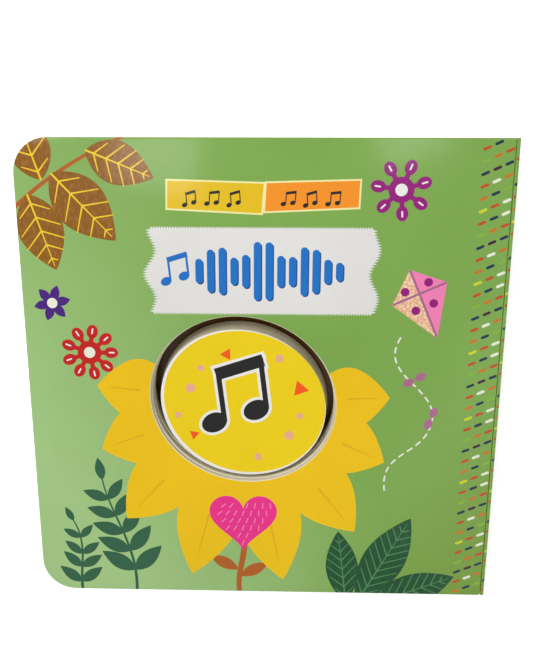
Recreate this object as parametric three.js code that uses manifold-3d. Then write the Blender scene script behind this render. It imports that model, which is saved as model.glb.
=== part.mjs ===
// A board book with a sound module and a press button that stands in a hole cut through every page.
// Millimetres. The book lies on its back cover: +Z is up, +Y runs to its top edge and +X to its spine.
// The origin is under the middle of the book, on the surface that it lies on.
import * as THREE from "three";
import { mergeVertices } from "three/addons/utils/BufferGeometryUtils.js";
import Module from "manifold-3d";

const wasm = await Module();
wasm.setup();

// Book
const bookWidth = 180;
const bookHeight = 180;
const foreCornerRadius = 13;
const spineCornerRadius = 1;
const backBoard = 1.8;
const moduleFrameDepth = 6;
const innerPageBoard = 1.2;
const leafBoard = 2.16;
const leafCount = 5;
const frontBoard = 2.2;
const openingGap = 0.2; // between the boards that part when the book opens
const leafGroove = 0.2; // the line between two leaves
const leafGrooveDepth = 1.5;
const spineCard = 1.5;
const spineShoulder = 1;
const spineFoot = 0.3; // the spine ends this far above the surface that the book lies on

// Hole and button
const holeX = -7.8;
const holeY = -7.8;
const holeHalfLength = 36.1;
const holeHalfWidth = 32.7;
const holeTurn = THREE.MathUtils.degToRad(-22);
const buttonGap = 3.78; // round the button's top, in the hole
const buttonDrop = 1.5; // the button sits this far below the middle of the hole
const buttonRecess = 1; // from the cover's face down to the button's
const buttonCard = 1.2;
const buttonPad = 8.8;
const buttonFlare = 1.2;
const buttonTravel = 1.6;

// Plunger, spring and switch under the button
const flangeRadius = 21;
const flangeThickness = 1.2;
const flangeGap = 2; // round the flange, in the last page
const stemRadius = 6;
const stemWall = 1.4;
const stemSlot = 1.2;
const stemGap = 0.3;
const footLip = 1;
const footThickness = 0.6;
const footGap = 0.1;
const pushPinRadius = 2;
const switchGap = 0.1; // left under the push pin when the button is down
const switchSide = 6.2;
const switchBody = 0.7;
const switchCapRadius = 1.8;
const switchCap = 0.3;
const springRadius = 8.5;
const springWire = 0.2;
const springTurns = 2;
const springPocket = 0.6;
const springPocketWall = 1;

// Sound module
const housingCorner = 4;
const housingWall = 1.2;
const housingFloor = 1.2;
const housingLid = 1;
const housingGap = 0.3; // round the housing, in its pocket and its window
const bayRecess = 0.4; // from the back cover's face up to the bay's
const bayDrop = 3; // from the button's axis down to the bay
const bayLeftLedge = 4;
const bayRightLedge = 2;
const bayBottomLedge = 6.5;
const bayRightRim = 0.6;
const boardThickness = 1;
const boardLift = 0.2;
const boardLeft = -14;
const boardRight = 30;
const boardBottom = -3.8;
const boardTop = 30;
const boardPostInset = 3;
const boardPostRadius = 1.5;
const caseScrewInset = 4.2;
const screwHeadRadius = 1.8;
const screwHead = 0.75;
const screwShankRadius = 0.75;
const screwPlay = 0.1;
const screwBossWall = 1.6;
const screwCover = 0.4;

// Speaker
const speakerRadius = 13.9;
const speakerSideGap = 3.9;
const speakerEndGap = 0.4;
const speakerToBatteries = 6.5;
const speakerRim = 0.8;
const speakerHeight = 3.6;
const speakerWall = 0.6;
const coneThickness = 0.2;
const magnetRadius = 7;
const magnetHeight = 2.6;
const coilRadius = 4.4;
const coilHeight = 0.5;
const grilleHoleRadius = 1;
const grilleRings = 3;
const grilleRingStep = 4;

// Batteries
const cellRadius = 5.8;
const cellHeight = 3.05;
const cellCount = 3;
const cellPitch = 12.9;
const cellBlockDrop = 4.6; // from the bay's top edge down to the battery block
const wellGap = 0.3;
const wellBlockWall = 1.4;
const contactThickness = 0.3;
const contactWidth = 2.8;
const contactPlay = 0.1;
const contactPadRadius = 4.5;
const doorThickness = 1.2;
const doorGap = 0.2;
const doorMargin = 1.4; // of the door round the battery wells
const doorTongue = 6.4; // above the wells, for its screw
const doorScrewLength = 4;

// Small electronic pieces
const chipX = 14;
const chipY = 14;
const chipRadius = 4.5;
const chipHeight = 1.4;
const capacitorX = 4;
const capacitorY = 21;
const capacitorLength = 3.2;
const capacitorWidth = 1.6;
const capacitorHeight = 1.2;
const wireRadius = 0.45;

const arcSegments = 5;
const holeSegments = 48;
const wheelSegments = 28;
const smallSegments = 14;

// Heights, from the surface that the book lies on
const frameFloorZ = backBoard;
const frameTopZ = frameFloorZ + moduleFrameDepth;
const innerPageTopZ = frameTopZ + innerPageBoard;
const pagesZ = innerPageTopZ + openingGap;
const pagesTopZ = pagesZ + leafCount * leafBoard;
const coverZ = pagesTopZ + openingGap;
const bookTopZ = coverZ + frontBoard;
const buttonTopZ = bookTopZ - buttonRecess;
const padTopZ = buttonTopZ - buttonCard;
const padZ = padTopZ - buttonPad;
const flangeZ = padZ - flangeThickness;
const lidZ = frameTopZ - housingLid;
const floorTopZ = frameFloorZ + housingFloor;
const bayFloorZ = bayRecess + housingFloor;
const boardZ = floorTopZ + boardLift;
const boardTopZ = boardZ + boardThickness;
const switchTopZ = boardTopZ + switchBody + switchCap;
const pinZ = switchTopZ + switchGap + buttonTravel;
const footTopZ = lidZ - footGap;
const cellZ = bayRecess + doorThickness + doorGap;
const cellTopZ = cellZ + cellHeight;
const contactZ = cellTopZ + contactPlay;
const contactTopZ = contactZ + contactThickness;

// The sound module is laid out round the button's axis, and its housing is as wide and high as that needs
const wellRadius = cellRadius + wellGap;
const blockWidth =
  wellBlockWall + doorMargin + 2 * wellRadius + (cellCount - 1) * cellPitch + housingWall;
const bayWidth =
  housingWall + speakerSideGap + 2 * speakerRadius + speakerToBatteries + blockWidth + bayRightRim;
const bayHeight = 2 * (housingWall + speakerEndGap + speakerRadius);
const bayTop = -bayDrop;
const bayBottom = bayTop - bayHeight;
const housingWidth = bayLeftLedge + bayWidth + bayRightLedge;
const housingHeight = 2 * (bayBottomLedge - bayBottom);
const bayLeft = bayLeftLedge - housingWidth / 2;
const bayRight = bayLeft + bayWidth;
const speakerX = bayLeft + housingWall + speakerSideGap + speakerRadius;
const speakerY = bayBottom + bayHeight / 2;
const blockLeft = speakerX + speakerRadius + speakerToBatteries;
const blockRight = blockLeft + blockWidth;
const firstCellX = blockLeft + wellBlockWall + doorMargin / 2 + wellRadius;
const cellPlaces = Array.from({ length: cellCount }, (_, i) => firstCellX + i * cellPitch);
const cellsY = bayTop - cellBlockDrop - wellBlockWall - doorTongue - wellRadius;
const doorLeft = cellPlaces[0] - wellRadius - doorMargin / 2;
const doorRight = cellPlaces[cellCount - 1] + wellRadius + doorMargin / 2;
const doorBottom = cellsY - wellRadius - doorMargin;
const doorTop = cellsY + wellRadius + doorTongue;
const doorScrewX = (doorLeft + doorRight) / 2;
const doorScrewY = doorTop - doorTongue / 2;
const blockTopZ = contactTopZ + contactPlay + housingFloor;

// Places, from the middle of the book
const foreEdgeX = -bookWidth / 2;
const spineX = bookWidth / 2;
const boardsEndX = spineX - spineCard - openingGap;
const moduleX = holeX;
const moduleY = holeY - buttonDrop;
const buttonHalfLength = holeHalfLength - buttonGap;
const buttonHalfWidth = holeHalfWidth - buttonGap;

const colours = {
  cover: 0x85ae55,
  boards: 0xede6c8,
  yellow: 0xf5d60a,
  pad: 0xf3ecc6,
  plastic: 0xe9e7e0,
  whitePlastic: 0xf2f1ec,
  blackPlastic: 0x202022,
  steel: 0xb9bcc0,
  green: 0x2f6b3c,
  film: 0xd9dccb,
  copper: 0xb87333,
  ceramic: 0xb78a56,
  redWire: 0xb3221d,
  blackWire: 0x1c1c1e,
};

function finish(colour, roughness, metalness = 0) {
  return new THREE.MeshStandardMaterial({ color: colour, roughness, metalness });
}

const printedCard = finish(colours.cover, 0.3);
const greyboard = finish(colours.boards, 0.85);
const whitePlastic = finish(colours.whitePlastic, 0.45);
const housingPlastic = finish(colours.plastic, 0.5);
const steel = finish(colours.steel, 0.3, 1);

// A closed geometry as a solid that can be joined and cut
function solid(geometry) {
  const bare = geometry.clone();
  bare.deleteAttribute("normal");
  bare.deleteAttribute("uv");
  const merged = mergeVertices(bare, 1e-4);
  return new wasm.Manifold(
    new wasm.Mesh({
      numProp: 3,
      vertProperties: merged.attributes.position.array,
      triVerts: new Uint32Array(merged.index.array),
    }),
  );
}

function geometryOf(body) {
  const data = body.getMesh();
  const geometry = new THREE.BufferGeometry();
  geometry.setAttribute("position", new THREE.BufferAttribute(data.vertProperties, 3));
  geometry.setIndex(new THREE.BufferAttribute(data.triVerts, 1));
  const faceted = geometry.toNonIndexed();
  faceted.computeVertexNormals();
  return faceted;
}

function joined(...bodies) {
  return bodies.reduce((whole, body) => whole.add(body));
}

function cut(body, ...tools) {
  return tools.reduce((whole, tool) => whole.subtract(tool), body);
}

// A flat shape from height low to height high
function plate(shape, low, high, segments = arcSegments) {
  const settings = { depth: high - low, bevelEnabled: false, curveSegments: segments };
  return solid(new THREE.ExtrudeGeometry(shape, settings).translate(0, 0, low));
}

function block(x0, x1, y0, y1, z0, z1) {
  const geometry = new THREE.BoxGeometry(x1 - x0, y1 - y0, z1 - z0);
  return solid(geometry.translate((x0 + x1) / 2, (y0 + y1) / 2, (z0 + z1) / 2));
}

function disc(x, y, radius, z0, z1, segments = smallSegments) {
  const geometry = new THREE.CylinderGeometry(radius, radius, z1 - z0, segments).rotateX(Math.PI / 2);
  return solid(geometry.translate(x, y, (z0 + z1) / 2));
}

// A profile of radius and height pairs turned round the vertical axis at x, y
function turned(x, y, profile, segments = wheelSegments) {
  const points = profile.map(([radius, height]) => new THREE.Vector2(radius, height));
  const geometry = new THREE.LatheGeometry(points, segments).rotateX(Math.PI / 2);
  return solid(geometry.translate(x, y, 0));
}

// A round wire along points or a curve
function wire(path, radius, steps, sides = 8) {
  const section = new THREE.Shape();
  section.absarc(0, 0, radius, 0, 2 * Math.PI);
  const settings = { steps, bevelEnabled: false, curveSegments: sides, extrudePath: path };
  return solid(new THREE.ExtrudeGeometry(section, settings));
}

function smoothPath(points) {
  return new THREE.CatmullRomCurve3(points.map((point) => new THREE.Vector3(...point)));
}

// A rectangle with one radius on its left corners and one on its right
function rectangle(x0, x1, y0, y1, leftRadius, rightRadius = leftRadius) {
  const shape = new THREE.Shape();
  shape.moveTo(x0 + leftRadius, y0);
  shape.lineTo(x1 - rightRadius, y0);
  shape.absarc(x1 - rightRadius, y0 + rightRadius, rightRadius, -Math.PI / 2, 0);
  shape.absarc(x1 - rightRadius, y1 - rightRadius, rightRadius, 0, Math.PI / 2);
  shape.absarc(x0 + leftRadius, y1 - leftRadius, leftRadius, Math.PI / 2, Math.PI);
  shape.absarc(x0 + leftRadius, y0 + leftRadius, leftRadius, Math.PI, 1.5 * Math.PI);
  return shape;
}

// The outline that every board of the book is cut to, less an inset all round
function boardOutline(inset = 0) {
  const low = -bookHeight / 2 + inset;
  return rectangle(
    foreEdgeX + inset,
    boardsEndX - inset,
    low,
    -low,
    foreCornerRadius - inset,
    spineCornerRadius,
  );
}

// The egg-shaped hole, or an outline that stands clear of it by a margin
function holeOutline(margin = 0) {
  const shape = new THREE.Shape();
  const half = [holeHalfLength + margin, holeHalfWidth + margin];
  shape.absellipse(holeX, holeY, half[0], half[1], 0, 2 * Math.PI, false, holeTurn);
  return shape;
}

function buttonOutline(growth = 0) {
  const shape = new THREE.Shape();
  const half = [buttonHalfLength + growth, buttonHalfWidth + growth];
  shape.absellipse(moduleX, moduleY, half[0], half[1], 0, 2 * Math.PI, false, holeTurn);
  return shape;
}

const book = new THREE.Group();
const moduleGroup = new THREE.Group();
moduleGroup.position.set(moduleX, moduleY, 0);
book.add(moduleGroup);

function place(group, name, body, material) {
  const mesh = new THREE.Mesh(geometryOf(body), material);
  mesh.name = name;
  group.add(mesh);
}

// Boards of the book
function makeBackCover() {
  const window = block(
    moduleX + bayLeft - housingGap,
    moduleX + bayRight + housingGap,
    moduleY + bayBottom - housingGap,
    moduleY + bayTop + housingGap,
    -1,
    frameFloorZ + 1,
  );
  place(book, "back_cover", cut(plate(boardOutline(), 0, frameFloorZ), window), printedCard);
}

function makeModuleFrame() {
  const halfWidth = housingWidth / 2 + housingGap;
  const halfHeight = housingHeight / 2 + housingGap;
  const pocket = rectangle(
    moduleX - halfWidth,
    moduleX + halfWidth,
    moduleY - halfHeight,
    moduleY + halfHeight,
    housingCorner,
  );
  const body = cut(
    plate(boardOutline(), frameFloorZ, frameTopZ),
    plate(pocket, frameFloorZ - 1, frameTopZ + 1),
  );
  place(book, "module_frame", body, greyboard);
}

function makeInnerBackPage() {
  const holeRadius = flangeRadius + flangeGap;
  const hole = disc(moduleX, moduleY, holeRadius, frameTopZ - 1, innerPageTopZ + 1, wheelSegments);
  place(book, "inner_back_page", cut(plate(boardOutline(), frameTopZ, innerPageTopZ), hole), printedCard);
}

function makePageBlock() {
  const bound = plate(boardOutline(leafGrooveDepth), pagesZ + leafBoard / 2, pagesTopZ - leafBoard / 2);
  let body = cut(bound, plate(holeOutline(leafGrooveDepth), pagesZ, pagesTopZ, holeSegments / 2));
  const hole = plate(holeOutline(), pagesZ - 1, pagesTopZ + 1, holeSegments / 2);
  for (let i = 0; i < leafCount; i++) {
    const low = pagesZ + i * leafBoard + (i > 0 ? leafGroove / 2 : 0);
    const high = pagesZ + (i + 1) * leafBoard - (i < leafCount - 1 ? leafGroove / 2 : 0);
    body = joined(body, cut(plate(boardOutline(), low, high), hole));
  }
  place(book, "page_block", body, greyboard);
}

function makeFrontCover() {
  const hole = plate(holeOutline(), coverZ - 1, bookTopZ + 1, holeSegments / 2);
  place(book, "front_cover", cut(plate(boardOutline(), coverZ, bookTopZ), hole), printedCard);
}

// The strip that wraps round the pages at the spine, with rounded shoulders outside
function makeSpine() {
  const section = new THREE.Shape();
  const inner = spineX - spineCard;
  section.moveTo(inner, spineFoot);
  section.lineTo(spineX - spineShoulder, spineFoot);
  section.absarc(spineX - spineShoulder, spineFoot + spineShoulder, spineShoulder, -Math.PI / 2, 0);
  section.absarc(spineX - spineShoulder, bookTopZ - spineShoulder, spineShoulder, 0, Math.PI / 2);
  section.lineTo(inner, bookTopZ);
  const settings = { depth: bookHeight, bevelEnabled: false, curveSegments: 6 };
  const geometry = new THREE.ExtrudeGeometry(section, settings);
  geometry.rotateX(Math.PI / 2).translate(0, bookHeight / 2, 0);
  place(book, "spine_strip", solid(geometry), printedCard);
}

// Button that stands in the hole
function makeButton() {
  const card = plate(buttonOutline(), padTopZ, buttonTopZ, holeSegments / 2);
  place(book, "button_card", card, finish(colours.yellow, 0.35));
  const settings = { depth: buttonPad, bevelEnabled: false, curveSegments: holeSegments / 2 };
  const geometry = new THREE.ExtrudeGeometry(buttonOutline(), settings).translate(0, 0, padZ);
  const points = geometry.attributes.position;
  const spread = 1 + buttonFlare / buttonHalfWidth;
  for (let i = 0; i < points.count; i++) {
    if (points.getZ(i) > padZ + buttonPad / 2) continue;
    points.setX(i, moduleX + (points.getX(i) - moduleX) * spread);
    points.setY(i, moduleY + (points.getY(i) - moduleY) * spread);
  }
  place(book, "button_pad", solid(geometry), finish(colours.pad, 0.9));
}

function makePlunger() {
  const pocketInner = springRadius - springPocketWall;
  const pocketOuter = springRadius + springPocketWall;
  const lipRadius = stemRadius + footLip;
  const inner = stemRadius - stemWall;
  const body = turned(0, 0, [
    [0, pinZ],
    [pushPinRadius, pinZ],
    [pushPinRadius, flangeZ],
    [inner, flangeZ],
    [inner, footTopZ - footThickness],
    [lipRadius, footTopZ - footThickness],
    [lipRadius, footTopZ],
    [stemRadius, footTopZ],
    [stemRadius, flangeZ],
    [pocketInner, flangeZ],
    [pocketInner, flangeZ + springPocket],
    [pocketOuter, flangeZ + springPocket],
    [pocketOuter, flangeZ],
    [flangeRadius, flangeZ],
    [flangeRadius, padZ],
    [0, padZ],
  ]);
  const slots = [0, Math.PI / 2].map((angle) => {
    const bar = new THREE.BoxGeometry(3 * lipRadius, stemSlot, flangeZ - footTopZ + footThickness);
    const height = (flangeZ + footTopZ - footThickness) / 2 - stemSlot / 2;
    return solid(bar.rotateZ(angle).translate(0, 0, height));
  });
  const pin = disc(0, 0, pushPinRadius, pinZ, flangeZ + flangeThickness / 2);
  place(moduleGroup, "button_plunger", joined(cut(body, ...slots), pin), whitePlastic);
}

function makeReturnSpring() {
  class Helix extends THREE.Curve {
    getPoint(t, target = new THREE.Vector3()) {
      const angle = 2 * Math.PI * springTurns * t;
      const low = frameTopZ + springWire + stemGap / 3;
      const high = flangeZ + springPocket - springWire - stemGap / 3;
      return target.set(
        springRadius * Math.cos(angle),
        springRadius * Math.sin(angle),
        THREE.MathUtils.lerp(low, high, t),
      );
    }
  }
  place(moduleGroup, "return_spring", wire(new Helix(), springWire, 20 * springTurns, 4), steel);
}

// Housing of the sound module
const caseScrewPlaces = [-1, 1].flatMap((sx) =>
  [-1, 1].map((sy) => [
    sx * (housingWidth / 2 - caseScrewInset),
    sy * (housingHeight / 2 - caseScrewInset),
  ]),
);
const screwBossRadius = screwShankRadius + screwBossWall;
const screwSeatZ = frameFloorZ + screwHead + 0.05;

function housingShape(inset = 0) {
  const halfWidth = housingWidth / 2 - inset;
  const halfHeight = housingHeight / 2 - inset;
  return rectangle(-halfWidth, halfWidth, -halfHeight, halfHeight, housingCorner - inset);
}

// The slots in the battery block that the contacts pass through
function contactSlots() {
  const low = cellsY - contactWidth / 2 - contactPlay;
  const high = cellsY + contactWidth / 2 + contactPlay;
  const roofZ = contactTopZ + contactPlay;
  const slots = cellPlaces.map((x) =>
    block(x - wellRadius - 3 * contactThickness, x - cellRadius, low, high, cellZ, roofZ),
  );
  const outLeft = block(blockLeft - 1, cellPlaces[0], low, high, contactZ - contactPlay, roofZ);
  const outRight = block(cellPlaces[cellCount - 1], blockRight + 1, low, high, contactZ - contactPlay, roofZ);
  return [...slots, outLeft, outRight];
}

function grilleHoles() {
  const holes = [];
  for (let ring = 0; ring < grilleRings; ring++) {
    const count = ring === 0 ? 1 : 6 * ring;
    for (let i = 0; i < count; i++) {
      const angle = (2 * Math.PI * i) / count;
      const x = speakerX + ring * grilleRingStep * Math.cos(angle);
      const y = speakerY + ring * grilleRingStep * Math.sin(angle);
      holes.push(disc(x, y, grilleHoleRadius, 0, bayFloorZ + 1, 10));
    }
  }
  return holes;
}

function makeHousingBase() {
  const wall = housingWall;
  let body = cut(
    plate(housingShape(), frameFloorZ, lidZ),
    plate(housingShape(wall), floorTopZ, lidZ + 1),
  );
  body = joined(body, block(bayLeft, bayRight, bayBottom, bayTop, bayRecess, floorTopZ));
  body = cut(
    body,
    block(bayLeft + wall, bayRight - wall, bayBottom + wall, bayTop - wall, bayFloorZ, floorTopZ + 1),
  );
  const cellBlock = block(
    blockLeft,
    blockRight,
    doorBottom - wellBlockWall,
    doorTop + wellBlockWall,
    bayRecess,
    blockTopZ,
  );
  const boardPosts = [boardLeft + boardPostInset, boardRight - boardPostInset].flatMap((x) =>
    [boardBottom + 2 * boardPostInset, boardTop - boardPostInset].map((y) =>
      disc(x, y, boardPostRadius, frameFloorZ, boardZ),
    ),
  );
  body = joined(body, cellBlock, ...boardPosts);
  const wells = cellPlaces.map((x) =>
    disc(x, cellsY, wellRadius, bayRecess, contactTopZ + contactPlay, wheelSegments),
  );
  const doorSeat = block(
    doorLeft - doorGap,
    doorRight + doorGap,
    doorBottom - doorGap,
    doorTop + doorGap,
    0,
    bayRecess + doorThickness + 0.1,
  );
  const pilot = disc(doorScrewX, doorScrewY, screwShankRadius + screwPlay, bayRecess, blockTopZ - screwCover);
  const screwSeats = caseScrewPlaces.flatMap(([x, y]) => [
    disc(x, y, screwHeadRadius + screwPlay, 0, screwSeatZ),
    disc(x, y, screwShankRadius + screwPlay, 0, floorTopZ + 1),
  ]);
  body = cut(body, ...wells, doorSeat, pilot, ...contactSlots(), ...grilleHoles(), ...screwSeats);
  place(moduleGroup, "housing_base", body, housingPlastic);
}

function makeHousingLid() {
  const bosses = caseScrewPlaces.map(([x, y]) => disc(x, y, screwBossRadius, floorTopZ + screwPlay, lidZ));
  const pilots = caseScrewPlaces.map(([x, y]) =>
    disc(x, y, screwShankRadius + screwPlay, floorTopZ, frameTopZ - screwCover),
  );
  const guide = disc(0, 0, stemRadius + stemGap, lidZ - 1, frameTopZ + 1, wheelSegments);
  const body = cut(joined(plate(housingShape(), lidZ, frameTopZ), ...bosses), guide, ...pilots);
  place(moduleGroup, "housing_lid", body, housingPlastic);
}

function screw(x, y, headZ, length) {
  const neckZ = headZ + screwHead;
  return turned(
    x,
    y,
    [
      [0, headZ],
      [screwHeadRadius, headZ],
      [screwHeadRadius, neckZ],
      [screwShankRadius, neckZ],
      [screwShankRadius, neckZ + length - screwShankRadius],
      [0, neckZ + length],
    ],
    smallSegments,
  );
}

function makeCaseScrews() {
  const length = frameTopZ - screwCover - screwPlay - frameFloorZ - screwHead;
  caseScrewPlaces.forEach(([x, y], i) => {
    place(moduleGroup, `housing_screw_${i + 1}`, screw(x, y, frameFloorZ, length), steel);
  });
}

// Circuit board and what it carries
function makeCircuit() {
  const outline = rectangle(boardLeft, boardRight, boardBottom, boardTop, 1);
  const board = plate(outline, boardZ, boardTopZ);
  place(moduleGroup, "circuit_board", board, finish(colours.green, 0.5));
  const half = switchSide / 2;
  const body = block(-half, half, -half, half, boardTopZ, boardTopZ + switchBody);
  const cap = disc(0, 0, switchCapRadius, boardTopZ, switchTopZ);
  place(moduleGroup, "push_switch", joined(body, cap), finish(colours.blackPlastic, 0.4));
  const chip = turned(chipX, chipY, [
    [0, boardTopZ],
    [chipRadius, boardTopZ],
    [0.85 * chipRadius, boardTopZ + 0.6 * chipHeight],
    [0.5 * chipRadius, boardTopZ + 0.9 * chipHeight],
    [0, boardTopZ + chipHeight],
  ], smallSegments);
  place(moduleGroup, "sound_chip", chip, finish(colours.blackPlastic, 0.25));
  const capacitor = block(
    capacitorX - capacitorLength / 2,
    capacitorX + capacitorLength / 2,
    capacitorY - capacitorWidth / 2,
    capacitorY + capacitorWidth / 2,
    boardTopZ,
    boardTopZ + capacitorHeight,
  );
  place(moduleGroup, "capacitor", capacitor, finish(colours.ceramic, 0.5));
}

// Speaker, facing down to its grille
const speakerNeck = magnetRadius + wellGap;
const magnetZ = bayFloorZ + speakerHeight + speakerWall - magnetHeight;
const coneRadius = speakerRadius - 2;

function makeSpeaker() {
  const z = bayFloorZ;
  const basket = turned(speakerX, speakerY, [
    [coneRadius + 0.3, z],
    [speakerRadius, z],
    [speakerRadius, z + speakerRim],
    [speakerRadius - 1.2, z + speakerRim],
    [speakerNeck + 1.8, z + speakerHeight - speakerWall],
    [speakerNeck + 1.8, z + speakerHeight],
    [speakerNeck, z + speakerHeight],
    [speakerNeck, z + speakerHeight - speakerWall],
    [speakerNeck + 1, z + speakerHeight - speakerWall],
    [coneRadius + 0.3, z + speakerRim / 2],
    [coneRadius + 0.3, z],
  ]);
  place(moduleGroup, "speaker_basket", basket, steel);
  const magnet = disc(speakerX, speakerY, magnetRadius, magnetZ, magnetZ + magnetHeight, wheelSegments);
  place(moduleGroup, "speaker_magnet", magnet, finish(colours.blackPlastic, 0.6, 0.5));
  const rim = z + speakerRim / 2;
  const cone = turned(speakerX, speakerY, [
    [0, rim + 0.5],
    [0.6 * coilRadius, rim + 0.4],
    [coilRadius, rim],
    [coneRadius, rim],
    [coneRadius, rim + coneThickness],
    [coilRadius, rim + coneThickness],
    [0.6 * coilRadius, rim + 0.4 + coneThickness],
    [0, rim + 0.5 + coneThickness],
  ]);
  place(moduleGroup, "speaker_cone", cone, finish(colours.film, 0.3));
  const coilZ = rim + coneThickness + contactPlay;
  const coil = cut(
    disc(speakerX, speakerY, coilRadius + 0.8, coilZ, coilZ + coilHeight, wheelSegments),
    disc(speakerX, speakerY, coilRadius + 0.2, coilZ - 1, coilZ + coilHeight + 1, wheelSegments),
  );
  place(moduleGroup, "speaker_voice_coil", coil, finish(colours.copper, 0.4, 1));
}

// Button cells, their contacts and their door
function makeCells() {
  cellPlaces.forEach((x, i) => {
    const rim = 0.4;
    const cell = turned(x, cellsY, [
      [0, cellZ],
      [cellRadius, cellZ],
      [cellRadius, cellTopZ - rim],
      [cellRadius - rim, cellTopZ - rim / 2],
      [cellRadius - 3 * rim, cellTopZ],
      [0, cellTopZ],
    ]);
    place(moduleGroup, `button_cell_${i + 1}`, cell, steel);
  });
}

function contactPad(x) {
  return disc(x, cellsY, contactPadRadius, contactZ, contactTopZ, wheelSegments);
}

function contactStrip(x0, x1) {
  const half = contactWidth / 2;
  return block(x0, x1, cellsY - half, cellsY + half, contactZ, contactTopZ);
}

// The upright tab that touches the side of the cell at x
function contactTab(x) {
  const half = contactWidth / 2;
  const face = x - cellRadius - 2 * contactPlay;
  return block(face - contactThickness, face, cellsY - half, cellsY + half, cellZ + 0.4, contactTopZ);
}

function makeContacts() {
  const first = cellPlaces[0];
  const last = cellPlaces[cellCount - 1];
  const tabFace = first - cellRadius - 2 * contactPlay;
  const positive = joined(contactStrip(blockLeft - 2 * contactThickness, tabFace), contactTab(first));
  place(moduleGroup, "positive_contact", positive, steel);
  for (let i = 0; i + 1 < cellCount; i++) {
    const next = cellPlaces[i + 1];
    const strip = contactStrip(cellPlaces[i], next - cellRadius - 2 * contactPlay);
    const body = joined(contactPad(cellPlaces[i]), strip, contactTab(next));
    place(moduleGroup, `link_contact_${i + 1}`, body, steel);
  }
  const negative = joined(contactPad(last), contactStrip(last, blockRight + contactPlay));
  place(moduleGroup, "negative_contact", negative, steel);
}

function makeBatteryDoor() {
  const low = bayRecess;
  const high = low + doorThickness;
  const door = cut(
    plate(rectangle(doorLeft, doorRight, doorBottom, doorTop, 0.8), low, high),
    disc(doorScrewX, doorScrewY, screwHeadRadius + screwPlay, low - 1, low + screwHead),
    disc(doorScrewX, doorScrewY, screwShankRadius + screwPlay, low - 1, high + 1),
  );
  place(moduleGroup, "battery_door", door, housingPlastic);
  place(moduleGroup, "battery_door_screw", screw(doorScrewX, doorScrewY, bayRecess, doorScrewLength), steel);
}

// Wires: red and black, from the board to the speaker and to the end contacts
const wireZ = boardTopZ + wireRadius + contactPlay;
const contactWireZ = (contactZ + contactTopZ) / 2;
const speakerTerminalX = 1.5;
const speakerTerminalY = speakerY + speakerRadius - 2 * wireRadius;
const speakerTerminalZ = bayFloorZ + speakerRim + 2 * wireRadius;
const boardTerminalX = 3;
const wireRow = 3; // between the wires' places on the board
const sideWireX = blockRight + contactPlay + wireRadius + contactPlay;
const wireRoutes = {
  speaker_wire_red: [
    [boardLeft + boardTerminalX, 3 * wireRow, wireZ],
    [boardLeft - 0.7 * wireRow, 2.7 * wireRow, wireZ],
    [boardLeft - 2 * wireRow, 0.7 * wireRow, wireZ - wireRadius],
    [speakerX + speakerTerminalX, speakerTerminalY, speakerTerminalZ],
  ],
  speaker_wire_black: [
    [boardLeft + boardTerminalX, 4 * wireRow, wireZ],
    [boardLeft - 1.3 * wireRow, 3.7 * wireRow, wireZ],
    [boardLeft - 3 * wireRow, wireRow, wireZ - wireRadius],
    [speakerX - speakerTerminalX, speakerTerminalY, speakerTerminalZ],
  ],
  battery_wire_red: [
    [blockLeft - 0.4 * wireRow, cellsY, contactWireZ],
    [blockLeft - 0.9 * wireRow, cellsY + 1.3 * wireRow, contactWireZ],
    [blockLeft - 1.5 * wireRow, cellsY + 3 * wireRow, wireZ],
    [boardLeft + boardTerminalX, -2 * wireRow, wireZ],
    [boardLeft + boardTerminalX, wireRow, wireZ],
  ],
  battery_wire_black: [
    [sideWireX, cellsY, contactWireZ],
    [sideWireX, doorTop, contactWireZ],
    [blockRight, doorTop + wellBlockWall + 0.7 * wireRow, contactWireZ],
    [boardRight + wireRow, 0.7 * wireRow, wireZ],
    [boardRight - boardTerminalX, 1.7 * wireRow, wireZ],
  ],
};

function makeWires() {
  for (const [name, points] of Object.entries(wireRoutes)) {
    const colour = name.endsWith("red") ? colours.redWire : colours.blackWire;
    place(moduleGroup, name, wire(smoothPath(points), wireRadius, 16, 4), finish(colour, 0.45));
  }
}

makeBackCover();
makeModuleFrame();
makeInnerBackPage();
makePageBlock();
makeFrontCover();
makeSpine();
makeButton();
makePlunger();
makeReturnSpring();
makeHousingBase();
makeHousingLid();
makeCaseScrews();
makeCircuit();
makeSpeaker();
makeCells();
makeContacts();
makeBatteryDoor();
makeWires();

export default book;
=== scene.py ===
# %% [markdown]
# # A board book with a button that plays a sound
# This notebook dresses a measured model of a square board book. The book lies closed on its back cover. A
# yellow button stands in an egg-shaped hole that is cut through the cover and every page, and pressing it
# plays a sound. The measured model is loaded first, and it fixes every place and size. All that is added here
# sits on it.

import bmesh
import bpy
import numpy as np
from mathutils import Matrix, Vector
from mathutils.geometry import delaunay_2d_cdt


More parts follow.
